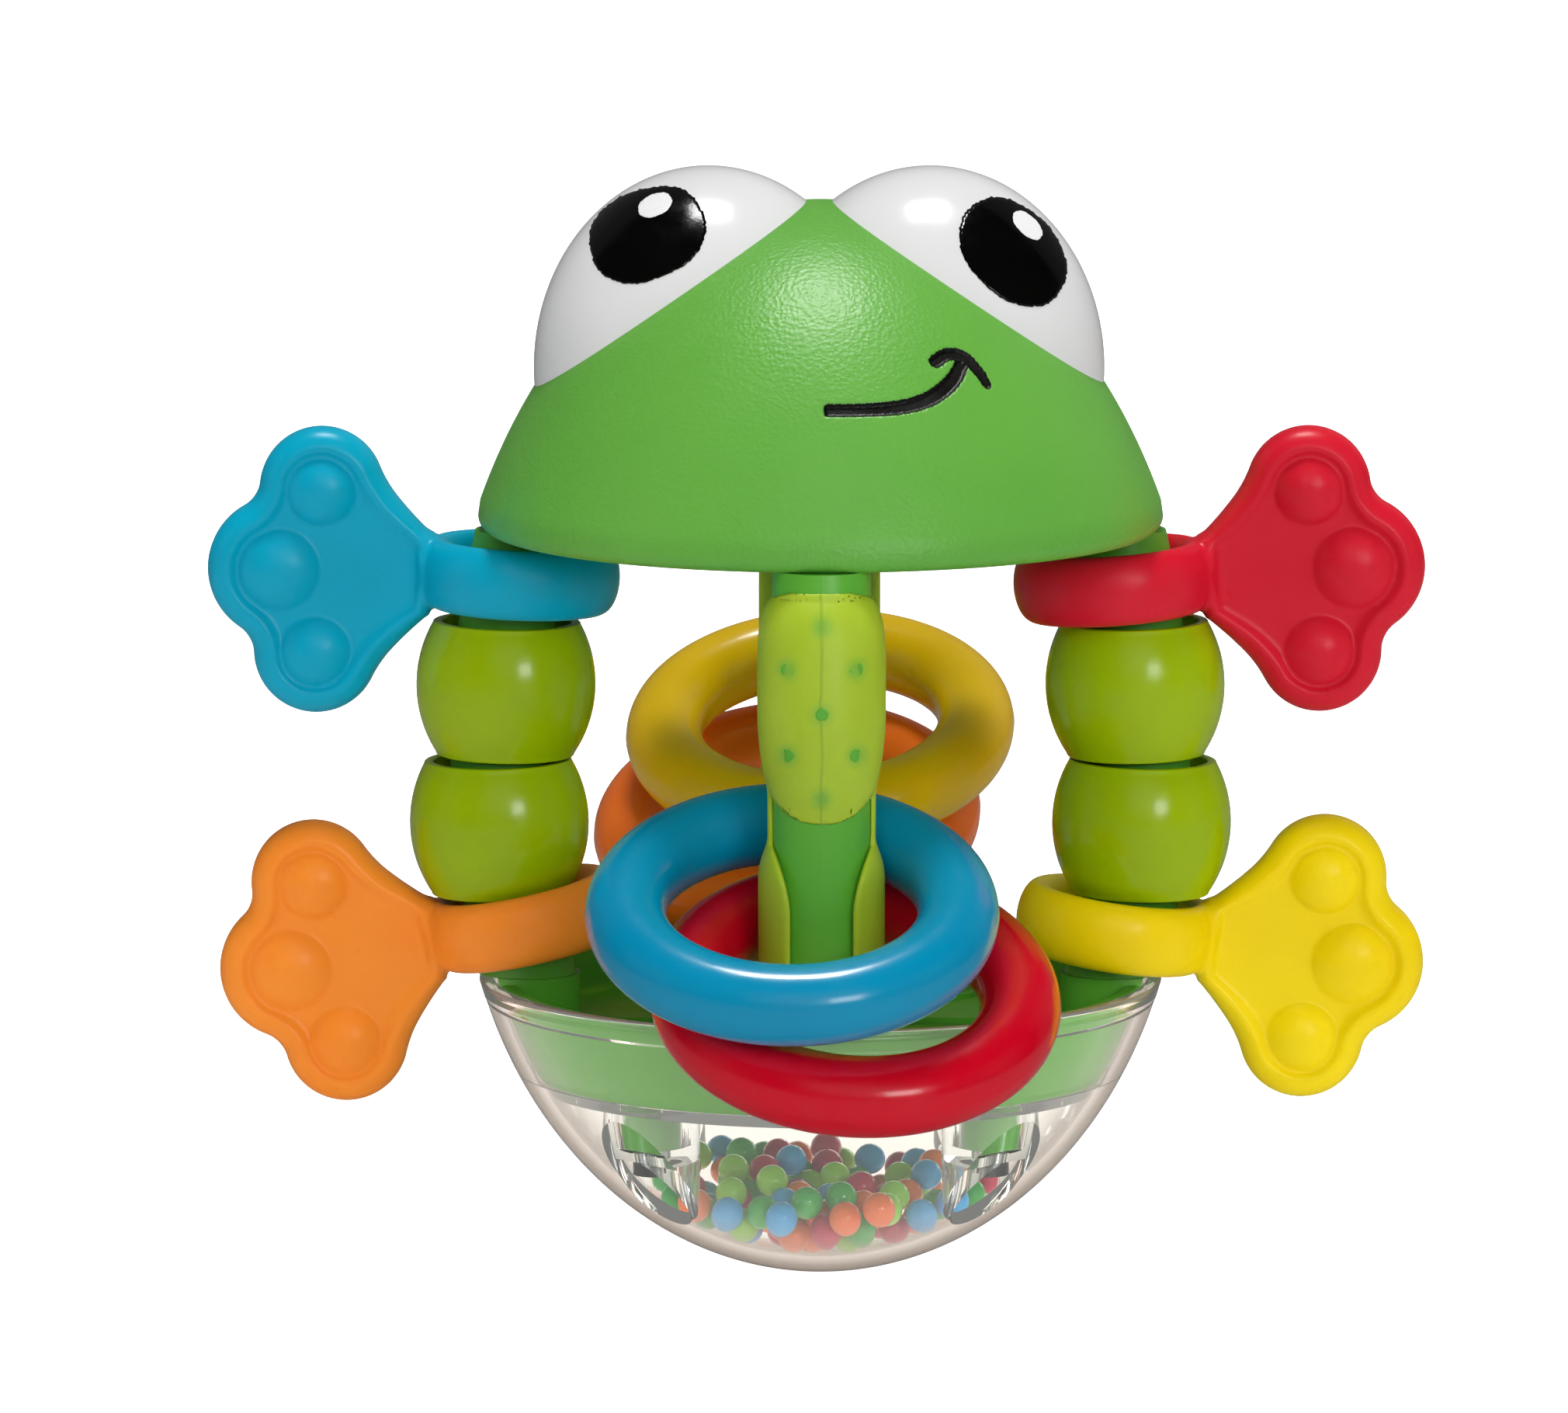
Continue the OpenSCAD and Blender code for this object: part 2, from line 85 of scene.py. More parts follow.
def add_lights():
    middle = (0, 0, 0.08)
    through_glass = 2.6
    add_area("top_softbox", (0.0, 0.04, 1.25), middle, 0.36, 0.28, 9.0)
    add_area("front_glint", (0.62, -1.3, 0.45), middle, 0.4, 0.3, 3.0)
    add_area("front_fill", (0.1, -1.5, 0.75), middle, 1.2, 0.9, 9.6, glossy=False)
    add_area("left_fill", (-1.2, -0.35, 0.35), middle, 0.6, 0.9, 2.0, glossy=False)
    add_area("right_fill", (1.2, -0.35, 0.35), middle, 0.6, 0.9, 2.0, glossy=False)
    add_area("rear_fill", (0.5, 0.9, 0.5), middle, 1.0, 0.6, 5.5, glossy=False)

    world = bpy.data.worlds.new("studio")
    scene.world = world
    world.use_nodes = True
    tree = world.node_tree
    background = tree.nodes["Background"]
    coords = tree.nodes.new("ShaderNodeTexCoord")
    split = tree.nodes.new("ShaderNodeSeparateXYZ")
    tree.links.new(coords.outputs["Generated"], split.inputs[0])
    side = tree.nodes.new("ShaderNodeMath")
    side.operation = "ABSOLUTE"
    tree.links.new(split.outputs["X"], side.inputs[0])
    ramp = tree.nodes.new("ShaderNodeValToRGB")
    ramp.color_ramp.interpolation = "EASE"
    ramp.color_ramp.elements[0].position = 0.45
    ramp.color_ramp.elements[0].color = (0.20, 0.20, 0.20, 1)
    ramp.color_ramp.elements[1].position = 0.9
    ramp.color_ramp.elements[1].color = (0.07, 0.07, 0.07, 1)
    tree.links.new(side.outputs[0], ramp.inputs[0])
    tree.links.new(ramp.outputs[0], background.inputs["Color"])
    path = tree.nodes.new("ShaderNodeLightPath")
    strength = tree.nodes.new("ShaderNodeMath")
    strength.operation = "MULTIPLY_ADD"
    tree.links.new(path.outputs["Is Transmission Ray"], strength.inputs[0])
    strength.inputs[1].default_value = through_glass
    strength.inputs[2].default_value = 1.0
    tree.links.new(strength.outputs[0], background.inputs["Strength"])
    world.cycles_visibility.glossy = False


def add_floor():
    half = 6.0
    bend_start = 1.1
    bend_r = 1.2
    rows = [(-half, 0.0), (0.0, 0.0), (bend_start, 0.0)]
    rows += [
        (bend_start + bend_r * math.sin(a), bend_r * (1 - math.cos(a)))
        for a in np.linspace(0, math.pi / 2, 24)[1:]
    ]
    rows.append((bend_start + bend_r, 6.0))
    verts = [(x, y, z) for y, z in rows for x in (-half, half)]
    faces = [(2 * i, 2 * i + 1, 2 * i + 3, 2 * i + 2) for i in range(len(rows) - 1)]
    mesh = bpy.data.meshes.new("floor")
    mesh.from_pydata(verts, [], faces)
    mesh.shade_smooth()
    floor = bpy.data.objects.new("floor", mesh)
    scene.collection.objects.link(floor)
    material = bpy.data.materials.new("pale_floor")
    material.use_nodes = True
    tree = material.node_tree
    bsdf = tree.nodes["Principled BSDF"]
    bsdf.inputs["Roughness"].default_value = 0.9
    bsdf.inputs["Specular IOR Level"].default_value = 0.1
    path = tree.nodes.new("ShaderNodeLightPath")

    def tint(ray, plain, changed, target):
        """Gives target one colour for most rays and another for one kind of ray."""
        mix = tree.nodes.new("ShaderNodeMix")
        mix.data_type = "RGBA"
        ends = [socket for socket in mix.inputs if socket.type == "RGBA"]
        ends[0].default_value = plain
        ends[1].default_value = changed
        tree.links.new(path.outputs[ray], mix.inputs["Factor"])
        tree.links.new([socket for socket in mix.outputs if socket.type == "RGBA"][0], bsdf.inputs[target])

    tint("Is Glossy Ray", (0.8, 0.8, 0.8, 1), (0.14, 0.14, 0.14, 1), "Base Color")
    tint("Is Transmission Ray", (1, 1, 1, 1), (0.86, 0.72, 0.65, 1), "Emission Color")

    def step(operation, a, b):
        node = tree.nodes.new("ShaderNodeMath")
        node.operation = operation
        for socket, value in zip(node.inputs, (a, b)):
            if isinstance(value, (int, float)):
                socket.default_value = value
            else:
                tree.links.new(value, socket)
        return node.outputs[0]

    seen = step("MULTIPLY", path.outputs["Is Camera Ray"], 0.8)
    through = step("MULTIPLY", path.outputs["Is Transmission Ray"], 1.4)
    strength = step("ADD", step("MAXIMUM", seen, through), 0.04)
    tree.links.new(strength, bsdf.inputs["Emission Strength"])
    mesh.materials.append(material)


# ---------- Materials ----------
def linear(code):
    """Linear colour of a hex code."""
    values = [int(code[i:i + 2], 16) / 255 for i in (1, 3, 5)]
    return tuple(v / 12.92 if v <= 0.04045 else ((v + 0.055) / 1.055) ** 2.4 for v in values) + (1,)


class Nodes:
    """A material's node tree with short calls for what the moulded plastics need."""

    def __init__(self, name):
        self.material = bpy.data.materials.new(name)
        self.material.use_nodes = True
        self.tree = self.material.node_tree
        self.bsdf = self.tree.nodes["Principled BSDF"]
        self.output = self.tree.nodes["Material Output"]
        self.place = self.add("ShaderNodeTexCoord").outputs["Object"]

    def add(self, kind, **settings):
        node = self.tree.nodes.new(kind)
        for key, value in settings.items():
            setattr(node, key, value)
        return node

    def link(self, source, target):
        self.tree.links.new(source, target)

    def noise(self, size_mm, detail=2.0, rough=0.5, distortion=0.0):
        node = self.add("ShaderNodeTexNoise")
        self.link(self.place, node.inputs["Vector"])
        node.inputs["Scale"].default_value = 1 / (size_mm * MM)
        node.inputs["Detail"].default_value = detail
        node.inputs["Roughness"].default_value = rough
        node.inputs["Distortion"].default_value = distortion
        return node.outputs["Fac"]

    def span(self, source, low, high, from_low=0.3, from_high=0.7):
        node = self.add("ShaderNodeMapRange", clamp=True)
        self.link(source, node.inputs["Value"])
        limits = {"From Min": from_low, "From Max": from_high, "To Min": low, "To Max": high}
        for socket, value in limits.items():
            node.inputs[socket].default_value = value
        return node.outputs[0]

    def math(self, kind, a, b=None):
        node = self.add("ShaderNodeMath", operation=kind)
        for socket, value in zip(node.inputs, (a, b)):
            if isinstance(value, (int, float)):
                socket.default_value = value
            elif value is not None:
                self.link(value, socket)
        return node.outputs[0]

    def blend(self, factor, first, second):
        node = self.add("ShaderNodeMix", data_type="RGBA")
        sockets = [s for s in node.inputs if s.type == "RGBA"]
        self.link(factor, node.inputs["Factor"])
        for socket, value in zip(sockets, (first, second)):
            if isinstance(value, tuple):
                socket.default_value = value
            else:
                self.link(value, socket)
        return [s for s in node.outputs if s.type == "RGBA"][0]

    def bump(self, height, depth_mm):
        node = self.add("ShaderNodeBump")
        self.link(height, node.inputs["Height"])
        node.inputs["Strength"].default_value = 1
        node.inputs["Distance"].default_value = depth_mm * MM
        self.link(node.outputs[0], self.bsdf.inputs["Normal"])

    def set(self, **values):
        for key, value in values.items():
            self.bsdf.inputs[key.replace("_", " ")].default_value = value


def plastic(name, shade, deep, rough, spread=0.05, grain_mm=0.6, grain_depth=0.01,
            drift_mm=24, soft=0.0, coat=0.0, shine=0.5):
    """Moulded plastic: slow pigment drift from shade to deep, a fine mould texture, faint handling marks."""
    n = Nodes(name)
    drift = n.noise(drift_mm, 2)
    n.link(n.blend(n.span(drift, 0, 1), linear(shade), linear(deep)), n.bsdf.inputs["Base Color"])
    marks = n.noise(drift_mm / 5, 5, 0.7, 0.4)
    n.link(n.span(marks, rough - spread, rough + spread), n.bsdf.inputs["Roughness"])
    n.bump(n.noise(grain_mm, 3, 0.6), grain_depth)
    n.set(IOR=1.49, Specular_IOR_Level=shine)
    if soft:
        n.set(Subsurface_Weight=soft, Subsurface_Radius=(1.0, 1.0, 0.6), Subsurface_Scale=1.2 * MM)
    if coat:
        n.set(Coat_Weight=coat, Coat_Roughness=0.08)
    return n.material


def paddle_plastic(name, shade, deep, soft):
    return plastic(name, shade, deep, 0.32, 0.05, 0.4, 0.014, soft=soft, shine=0.26)


def ring_plastic(name, shade, deep):
    return plastic(name, shade, deep, 0.22, 0.05, 2.5, 0.012, coat=0.25)


def ball_plastic(name, shade, deep):
    return plastic(name, shade, deep, 0.2, 0.04, 1.0, 0.01, soft=0.3)


def leather_plastic(name, shade, deep):
    """The head's satin plastic, with the fine wrinkled grain of its mould."""
    n = Nodes(name)
    drift = n.noise(30, 2)
    n.link(n.blend(n.span(drift, 0, 1), linear(shade), linear(deep)), n.bsdf.inputs["Base Color"])
    wander = n.add("ShaderNodeTexNoise")
    n.link(n.place, wander.inputs["Vector"])
    wander.inputs["Scale"].default_value = 1 / (1.1 * MM)
    shift = n.add("ShaderNodeVectorMath", operation="MULTIPLY_ADD")
    n.link(wander.outputs["Color"], shift.inputs[0])
    shift.inputs[1].default_value = (0.6 * MM,) * 3
    n.link(n.place, shift.inputs[2])
    cells = n.add("ShaderNodeTexVoronoi", feature="SMOOTH_F1")
    n.link(shift.outputs[0], cells.inputs["Vector"])
    cells.inputs["Scale"].default_value = 1 / (0.62 * MM)
    cells.inputs["Smoothness"].default_value = 0.35
    fine = n.noise(0.25, 2, 0.6)
    height = n.math("ADD", cells.outputs["Distance"], n.math("MULTIPLY", fine, 0.4))
    n.bump(height, 0.06)
    n.link(n.span(n.noise(8, 4, 0.6), 0.34, 0.42), n.bsdf.inputs["Roughness"])
    n.set(IOR=1.49, Subsurface_Weight=0.12, Subsurface_Radius=(0.6, 1.0, 0.4), Subsurface_Scale=1.0 * MM)
    return n.material


def clear_plastic(name, tint="#eef2f1", rough=0.015):
    """Clear moulded plastic with faint flow ripples, a faint painted glow of its own and painted shade
    towards its edges. Lamps shine through it.
    """
    n = Nodes(name)
    # Painted glow: a faint warm emission makes the clear plastic give off a little light of its own, though
    # it is no lamp.
    n.set(Transmission_Weight=1.0, IOR=1.33, Emission_Color=(0.95, 0.93, 0.88, 1), Emission_Strength=0.035)
    # Painted shade: the base colour turns grey-brown where the surface is seen at a grazing angle, darkening
    # the clear walls towards their edges.
    facing = n.add("ShaderNodeLayerWeight")
    facing.inputs["Blend"].default_value = 0.5
    edge = n.span(facing.outputs["Facing"], 0, 1, 0.56, 0.8)
    n.link(n.blend(edge, linear(tint), linear("#7c766c")), n.bsdf.inputs["Base Color"])
    n.link(n.span(n.noise(6, 3, 0.6), rough * 0.4, rough * 1.6), n.bsdf.inputs["Roughness"])
    n.bump(n.noise(9, 1, 0.4), 0.012)
    path = n.add("ShaderNodeLightPath")
    thin = n.add("ShaderNodeBsdfTransparent")
    thin.inputs["Color"].default_value = (0.96, 0.96, 0.96, 1)
    mix = n.add("ShaderNodeMixShader")
    n.link(path.outputs["Is Shadow Ray"], mix.inputs[0])
    n.link(n.bsdf.outputs[0], mix.inputs[1])
    n.link(thin.outputs[0], mix.inputs[2])
    n.link(mix.outputs[0], n.output.inputs["Surface"])
    return n.material


def grip_rubber(name, shade, deep, halo, line):
    """Soft lime rubber: the green post shows faintly round the dots, and a parting line runs up."""
    n = Nodes(name)
    drift = n.blend(n.span(n.noise(9, 3), 0, 1), linear(shade), linear(deep))
    near_dot = n.add("ShaderNodeAttribute", attribute_name="halo").outputs["Fac"]
    stained = n.blend(n.math("MULTIPLY", n.math("POWER", near_dot, 1.6), 0.75), drift, linear(halo))
    split = n.add("ShaderNodeSeparateXYZ")
    n.link(n.place, split.inputs[0])
    wave = n.math("MULTIPLY", n.math("SUBTRACT", n.noise(6, 2), 0.5), 0.6 * MM)
    away = n.math("ABSOLUTE", n.math("ADD", split.outputs["X"], wave))
    seam = n.span(away, 1, 0, 0.06 * MM, 0.24 * MM)
    n.link(n.blend(n.math("MULTIPLY", seam, 0.55), stained, linear(line)), n.bsdf.inputs["Base Color"])
    n.link(n.span(n.noise(3, 5, 0.7, 0.4), 0.36, 0.5), n.bsdf.inputs["Roughness"])
    n.bump(n.math("ADD", n.math("MULTIPLY", n.noise(0.35, 3, 0.6), 0.25), seam), 0.06)
    n.set(IOR=1.49, Subsurface_Weight=0.25, Subsurface_Radius=(1.0, 1.0, 0.6), Subsurface_Scale=1.2 * MM)
    return n.material


def screw_metal(name):
    n = Nodes(name)
    n.set(Base_Color=(0.62, 0.62, 0.6, 1), Metallic=1.0)
    n.link(n.span(n.noise(0.5, 4, 0.7), 0.22, 0.42), n.bsdf.inputs["Roughness"])
    n.bump(n.noise(0.25, 2), 0.01)
    return n.material


MATERIALS = {
    "head_green": leather_plastic("head_green", "#67ad41", "#5fa63c"),
    "eye_white": plastic("eye_white", "#e2e2e2", "#dbdbdb", 0.2, 0.03, 1.6, 0.012, coat=0.3),
    "pupil_black": plastic("pupil_black", "#0b0908", "#050505", 0.16, 0.06, 0.9, 0.02),
    "pupil_light": plastic("pupil_light", "#f4f4f4", "#e8e8e8", 0.3, 0.05, 0.5, 0.01),
    "mouth_black": plastic("mouth_black", "#12100e", "#060606", 0.42, 0.12, 0.45, 0.05),
    "frame_green": plastic("frame_green", "#5cae32", "#53a52c", 0.36, 0.06, 0.5, 0.012),
    "grip_lime": grip_rubber("grip_lime", "#aac52e", "#a0bb22", "#6fae3a", "#8aa838"),
    "paddle_blue": paddle_plastic("paddle_blue", "#00a4c4", "#009dbc", 0.1),
    "paddle_red": paddle_plastic("paddle_red", "#d41a30", "#cc1429", 0.1),
    "paddle_orange": paddle_plastic("paddle_orange", "#ff9633", "#fb8c28", 0.2),
    "paddle_yellow": paddle_plastic("paddle_yellow", "#f6da08", "#f0d000", 0.2),
    "bead_lime": plastic("bead_lime", "#9cb800", "#92ae00", 0.22, 0.04, 2.0, 0.012, soft=0.12, coat=0.1),
    "ring_blue": ring_plastic("ring_blue", "#008cb4", "#0083aa"),
    "ring_red": ring_plastic("ring_red", "#cc0020", "#c0001b"),
    "ring_yellow": ring_plastic("ring_yellow", "#e0b606", "#d8ae02"),
    "ring_orange": ring_plastic("ring_orange", "#e8701c", "#e06818"),
    "clear_bowl": clear_plastic("clear_bowl"),
    "screw_steel": screw_metal("screw_steel"),
    "ball_coral": ball_plastic("ball_coral", "#ff8446", "#fa783c"),
    "ball_lime": ball_plastic("ball_lime", "#a2de52", "#98d448"),
    "ball_green": ball_plastic("ball_green", "#44b858", "#3aae4c"),
    "ball_blue": ball_plastic("ball_blue", "#52b6ee", "#48aae2"),
    "ball_crimson": ball_plastic("ball_crimson", "#d2305a", "#c62850"),
}


# ---------- Mesh tools ----------
def add_piece(name, verts, faces, material, body, replaces=(), sharp=None):
    """A smooth mesh in metres that rides on a body."""
    mesh = bpy.data.meshes.new(name)
    mesh.from_pydata(np.asarray(verts).tolist(), [], [list(map(int, f)) for f in faces])
    mesh.validate()
    mesh.shade_smooth()
    if sharp:
        mesh.set_sharp_from_angle(angle=math.radians(sharp))
    mesh.materials.append(MATERIALS[material])
    piece = bpy.data.objects.new(name, mesh)
    scene.collection.objects.link(piece)
    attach(piece, body)
    if replaces:
        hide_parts(*replaces)
    return piece


def moved(points, matrix):
    """Points in mm through a 4x4 matrix whose lengths are mm, as metres."""
    m = np.array(matrix)
    return (np.asarray(points) @ m[:3, :3].T + m[:3, 3]) * MM


def lathe(profile, steps):
    """A closed, counter-clockwise profile of (radius, height) turned about Z, with shared axis points."""
    verts, faces, rows = [], [], []
    angles = np.linspace(0, 2 * math.pi, steps, endpoint=False)
    for r, z in profile:
        if r < 1e-6:
            rows.append([len(verts)] * steps)
            verts.append((0, 0, z))
        else:
            rows.append(list(range(len(verts), len(verts) + steps)))
            verts += [(r * math.cos(a), r * math.sin(a), z) for a in angles]
    for i, low in enumerate(rows):
        high = rows[(i + 1) % len(rows)]
        if low[0] == low[-1] and high[0] == high[-1]:
            continue
        for j in range(steps):
            k = (j + 1) % steps
            ring = [low[j], low[k], high[k], high[j]]
            faces.append([v for n, v in enumerate(ring) if v not in ring[:n]])
    return np.array(verts), faces


def arc(centre, r, start, end, steps):
    """Points on a circle from angle start to end, in degrees."""
    return [
        (centre[0] + r * math.cos(a), centre[1] + r * math.sin(a))
        for a in np.radians(np.linspace(start, end, steps))
    ]


def smooth_min(a, b, k):
    h = np.maximum(k - np.abs(a - b), 0) / k
    return np.minimum(a, b) - h * h * k / 4


def smooth_max(a, b, k):
    return -smooth_min(-a, -b, k)


def surface_net(field, low, high, pitch, polish=3):
    """Quads over the surface where field is zero, with each point then moved onto it."""
    low = np.array(low, float)
    count = np.ceil((np.array(high) - low) / pitch).astype(int) + 1
    axes = [low[k] + pitch * np.arange(count[k]) for k in range(3)]
    d = field(np.stack(np.meshgrid(*axes, indexing="ij"), -1))
    inside = d < 0
    corners = [np.array((i, j, k)) for i in (0, 1) for j in (0, 1) for k in (0, 1)]
    size = count - 1
    total = sum(
        inside[c[0]:c[0] + size[0], c[1]:c[1] + size[1], c[2]:c[2] + size[2]].astype(int) for c in corners
    )
    cells = np.argwhere((total > 0) & (total < 8))
    index = np.full(total.shape, -1)
    index[tuple(cells.T)] = np.arange(len(cells))
    spot = np.zeros((len(cells), 3))
    hits = np.zeros(len(cells))
    for a in corners:
        for k in range(3):
            if a[k]:
                continue
            step = np.eye(3, dtype=int)[k]
            da = d[tuple((cells + a).T)]
            db = d[tuple((cells + a + step).T)]
            cross = (da < 0) != (db < 0)
            t = np.where(cross, da / np.where(cross, da - db, 1), 0)
            spot += cross[:, None] * (a + t[:, None] * step)
            hits += cross
    points = low + pitch * (cells + spot / hits[:, None])
    for _ in range(polish):
        value = field(points)
        slope = np.stack([
            (field(points + e) - field(points - e)) / (0.2 * pitch) for e in np.eye(3) * 0.1 * pitch
        ], -1)
        move = value[:, None] * slope / np.maximum((slope ** 2).sum(-1, keepdims=True), 0.2)
        points -= np.clip(move, -0.5 * pitch, 0.5 * pitch)
    faces = []
    for k in range(3):
        u, v = np.eye(3, dtype=int)[(k + 1) % 3], np.eye(3, dtype=int)[(k + 2) % 3]
        first = np.moveaxis(inside, k, 0)
        change = np.moveaxis(first[:-1] != first[1:], 0, k)
        edges = np.argwhere(change)
        keep = (edges @ u > 0) & (edges @ v > 0) & (edges @ u < size @ u) & (edges @ v < size @ v)
        edges = edges[keep]
        quad = np.stack([index[tuple((edges - s).T)] for s in (u + v, v, 0 * u, u)], -1)
        flip = ~inside[tuple(edges.T)]
        quad[flip] = quad[flip][:, ::-1]
        faces.append(quad)
    return points, np.concatenate(faces)


# ---------- Head ----------
HEAD_Z = 96.5
HEAD_R = 44.0
HEAD_WALL = 2.2
DOME_A, DOME_B, DOME_MID = 49.4, 72.0, 66.9
LIP_R = 2.0
DOME_END_Z = 100.4
CROWN_Z = DOME_MID + DOME_B
# The smile's strokes as (x, height, width), in mm on the dome
SMILE = [(0.0, 116.2, 1.75), (5.0, 116.2, 1.8), (9.7, 116.4, 1.95), (12.8, 117.0, 2.05), (15.0, 118.0, 2.1),
         (16.6, 119.3, 2.05), (17.6, 120.9, 1.9)]
CHEEK = [(14.3, 121.5, 1.75), (15.9, 122.25, 1.85), (18.0, 121.8, 1.85), (19.8, 120.0, 1.65),
         (20.8, 118.5, 1.4)]
GROOVE_DEPTH = 0.5


def dome_radius(z, inset=0.0):
    a, b = DOME_A - inset, DOME_B - inset
    return a * np.sqrt(np.maximum(0, 1 - ((z - DOME_MID) / b) ** 2))


def stroke_points(stroke):
    """Closely spaced (x, z, half width) along a stroke, on a smooth curve through its points."""
    p = np.array(stroke)
    fine = np.linspace(0, len(p) - 1, 120)
    ends = np.concatenate([[2 * p[0] - p[1]], p, [2 * p[-1] - p[-2]]])
    i = np.minimum(fine.astype(int), len(p) - 2)
    f = (fine - i)[:, None]
    a, b, c, d = (ends[i + k] for k in range(4))
    square, cube = 2 * a - 5 * b + 4 * c - d, 3 * b - a - 3 * c + d
    return 0.5 * (2 * b + (c - a) * f + square * f ** 2 + cube * f ** 3)


MOUTH_LINE = np.concatenate([stroke_points(s) for s in (SMILE, CHEEK)])
MOUTH_START_X = 0.0
MOUTH_Z = (114.5, 124.0)


def mouth_distance(points):
    """Signed distance from points on the front of the dome, in mm, to the edge of the smile."""
    x, z, half = MOUTH_LINE[:, 0], MOUTH_LINE[:, 1], MOUTH_LINE[:, 2] / 2
    y = -np.sqrt(np.maximum(0, dome_radius(z) ** 2 - x ** 2))
    line = np.stack([x, y, z], -1)
    best = np.full(len(points), 99.0)
    for start in range(0, len(points), 4000):
        chunk = points[start:start + 4000]
        gap = np.sqrt(((chunk[:, None] - line[None]) ** 2).sum(-1)) - half
        best[start:start + 4000] = gap.min(1)
    px, pz = points[:, 0], points[:, 2]
    wobble = 0.06 * np.sin(px * 5.1) * np.sin(pz * 6.3 + 1) + 0.05 * np.sin(px * 13)
    return smooth_max(best, MOUTH_START_X + 0.3 - px, 0.4) + wobble


def groove(distance):
    t = np.clip((0.12 - distance) / 0.5, 0, 1)
    return GROOVE_DEPTH * t * t * (3 - 2 * t)


def dome_normal(points):
    g = points / np.array([DOME_A ** 2, DOME_A ** 2, DOME_B ** 2]) - np.array([0, 0, DOME_MID / DOME_B ** 2])
    return g / np.linalg.norm(g, axis=-1, keepdims=True)


def spaced(ranges):
    """Sorted values over ranges of (start, end, step), without doubles."""
    values = np.concatenate([np.arange(a, b, s) for a, b, s in ranges])
    return np.unique(np.round(values, 5))


def add_head():
    heights = spaced([(DOME_END_Z, MOUTH_Z[0], 0.8), (*MOUTH_Z, 0.22), (MOUTH_Z[1], 134, 0.8),
                      (134, 138, 0.5), (138, 139.2, 0.2)])
    turns = np.radians(spaced([(-94, -50, 0.3), (-50, 266, 2.0)]))
    outer = [(float(dome_radius(z)), float(z)) for z in heights[::-1]]
    lip = arc((HEAD_R - LIP_R, HEAD_Z + LIP_R), LIP_R, 0, -90, 9)
    inner = [(HEAD_R - HEAD_WALL, HEAD_Z), (HEAD_R - HEAD_WALL, HEAD_Z + 3)]
    inner_heights = np.linspace(DOME_END_Z, CROWN_Z - HEAD_WALL, 40)[1:-1]
    inner += [(float(dome_radius(z, HEAD_WALL)), float(z)) for z in inner_heights]
    profile = [(0.0, CROWN_Z)] + outer + lip + inner + [(0.0, CROWN_Z - HEAD_WALL)]
    steps = len(turns)
    verts, faces, rows = [], [], []
    for r, z in profile:
        if r < 1e-6:
            rows.append([len(verts)] * steps)
            verts.append((0, 0, z))
        else:
            rows.append(list(range(len(verts), len(verts) + steps)))
            verts += [(r * math.cos(a), r * math.sin(a), z) for a in turns]
    for low, high in zip(rows, rows[1:]):
        for j in range(steps):
            k = (j + 1) % steps
            ring = [low[j], high[j], high[k], low[k]]
            faces.append([v for n, v in enumerate(ring) if v not in ring[:n]])
    verts = np.array(verts)
    x, y, z = verts.T
    near = (y < 0) & (z > MOUTH_Z[0]) & (z < MOUTH_Z[1]) & (x > -4) & (x < 24)
    near &= np.hypot(x, y) > dome_radius(z) - 0.5
    spots = verts[near]
    verts[near] = spots - dome_normal(spots) * groove(mouth_distance(spots))[:, None]
    add_piece("head_dome", verts * MM, faces, "head_green", "cage", replaces=["head_shell"])


def contour_sheet(distance, u_values, v_values, surface):
    """Quads over the part of a grid where distance is negative, with the border moved onto the outline."""
    u, v = np.meshgrid(u_values, v_values, indexing="ij")
    flat = np.stack([u.ravel(), v.ravel()], -1)
    h = 0.02
    step_u, step_v = u_values[1] - u_values[0], v_values[1] - v_values[0]
    reach = 0.75 * max(step_u, step_v)
    d = distance(surface(flat))
    keep = (d < reach * 0.6).reshape(u.shape)
    full = keep[:-1, :-1] & keep[1:, :-1] & keep[1:, 1:] & keep[:-1, 1:]
    n = np.arange(len(flat)).reshape(u.shape)
    quads = np.stack([n[:-1, :-1], n[1:, :-1], n[1:, 1:], n[:-1, 1:]], -1)[full]
    count = np.bincount(quads.ravel(), minlength=len(flat))
    border = (count > 0) & (count < 4)
    for _ in range(6):
        at = flat[border]
        value = distance(surface(at))
        slope = np.stack([
            (distance(surface(at + e)) - distance(surface(at - e))) / (2 * h) for e in np.eye(2) * h
        ], -1)
        move = value[:, None] * slope / np.maximum((slope ** 2).sum(-1, keepdims=True), 0.05)
        flat[border] = at - np.clip(move, -0.3 * reach, 0.3 * reach)
    used = np.unique(quads)
    renumber = np.full(len(flat), -1)
    renumber[used] = np.arange(len(used))
    return surface(flat[used]), renumber[quads]


def add_mouth():
    paint_lift = 0.11

    def on_dome(xz):
        y = -np.sqrt(np.maximum(0, dome_radius(xz[:, 1]) ** 2 - xz[:, 0] ** 2))
        return np.stack([xz[:, 0], y, xz[:, 1]], -1)

    points, quads = contour_sheet(
        lambda p: mouth_distance(p) + 0.02, np.arange(-1.5, 23, 0.14), np.arange(*MOUTH_Z, 0.14), on_dome)
    d = mouth_distance(points)
    points = points - dome_normal(points) * (groove(d) - paint_lift)[:, None]
    add_piece("mouth_paint", points * MM, quads, "mouth_black", "cage")


# ---------- Eyes ----------
EYE_X = {"left": -14.4, "right": 14.0}
EYE_Z = 117.4
EYE_HALF = np.array([22.4, 20.5, 25.9])
# Pupils: middle (x, height), half lengths along and across, tilt in degrees and squareness
PUPILS = {
    "left": ((-22.05, 135.6), (7.65, 5.1), 22, 2.3),
    "right": ((24.4, 133.4), (7.85, 5.1), 139, 2.15),
}
# White spots: middle, half lengths, tilt
SPOTS = {
    "left": ((-21.1, 139.2), (2.25, 1.2), 22),
    "right": ((26.3, 136.5), (2.3, 1.05), 139),
}


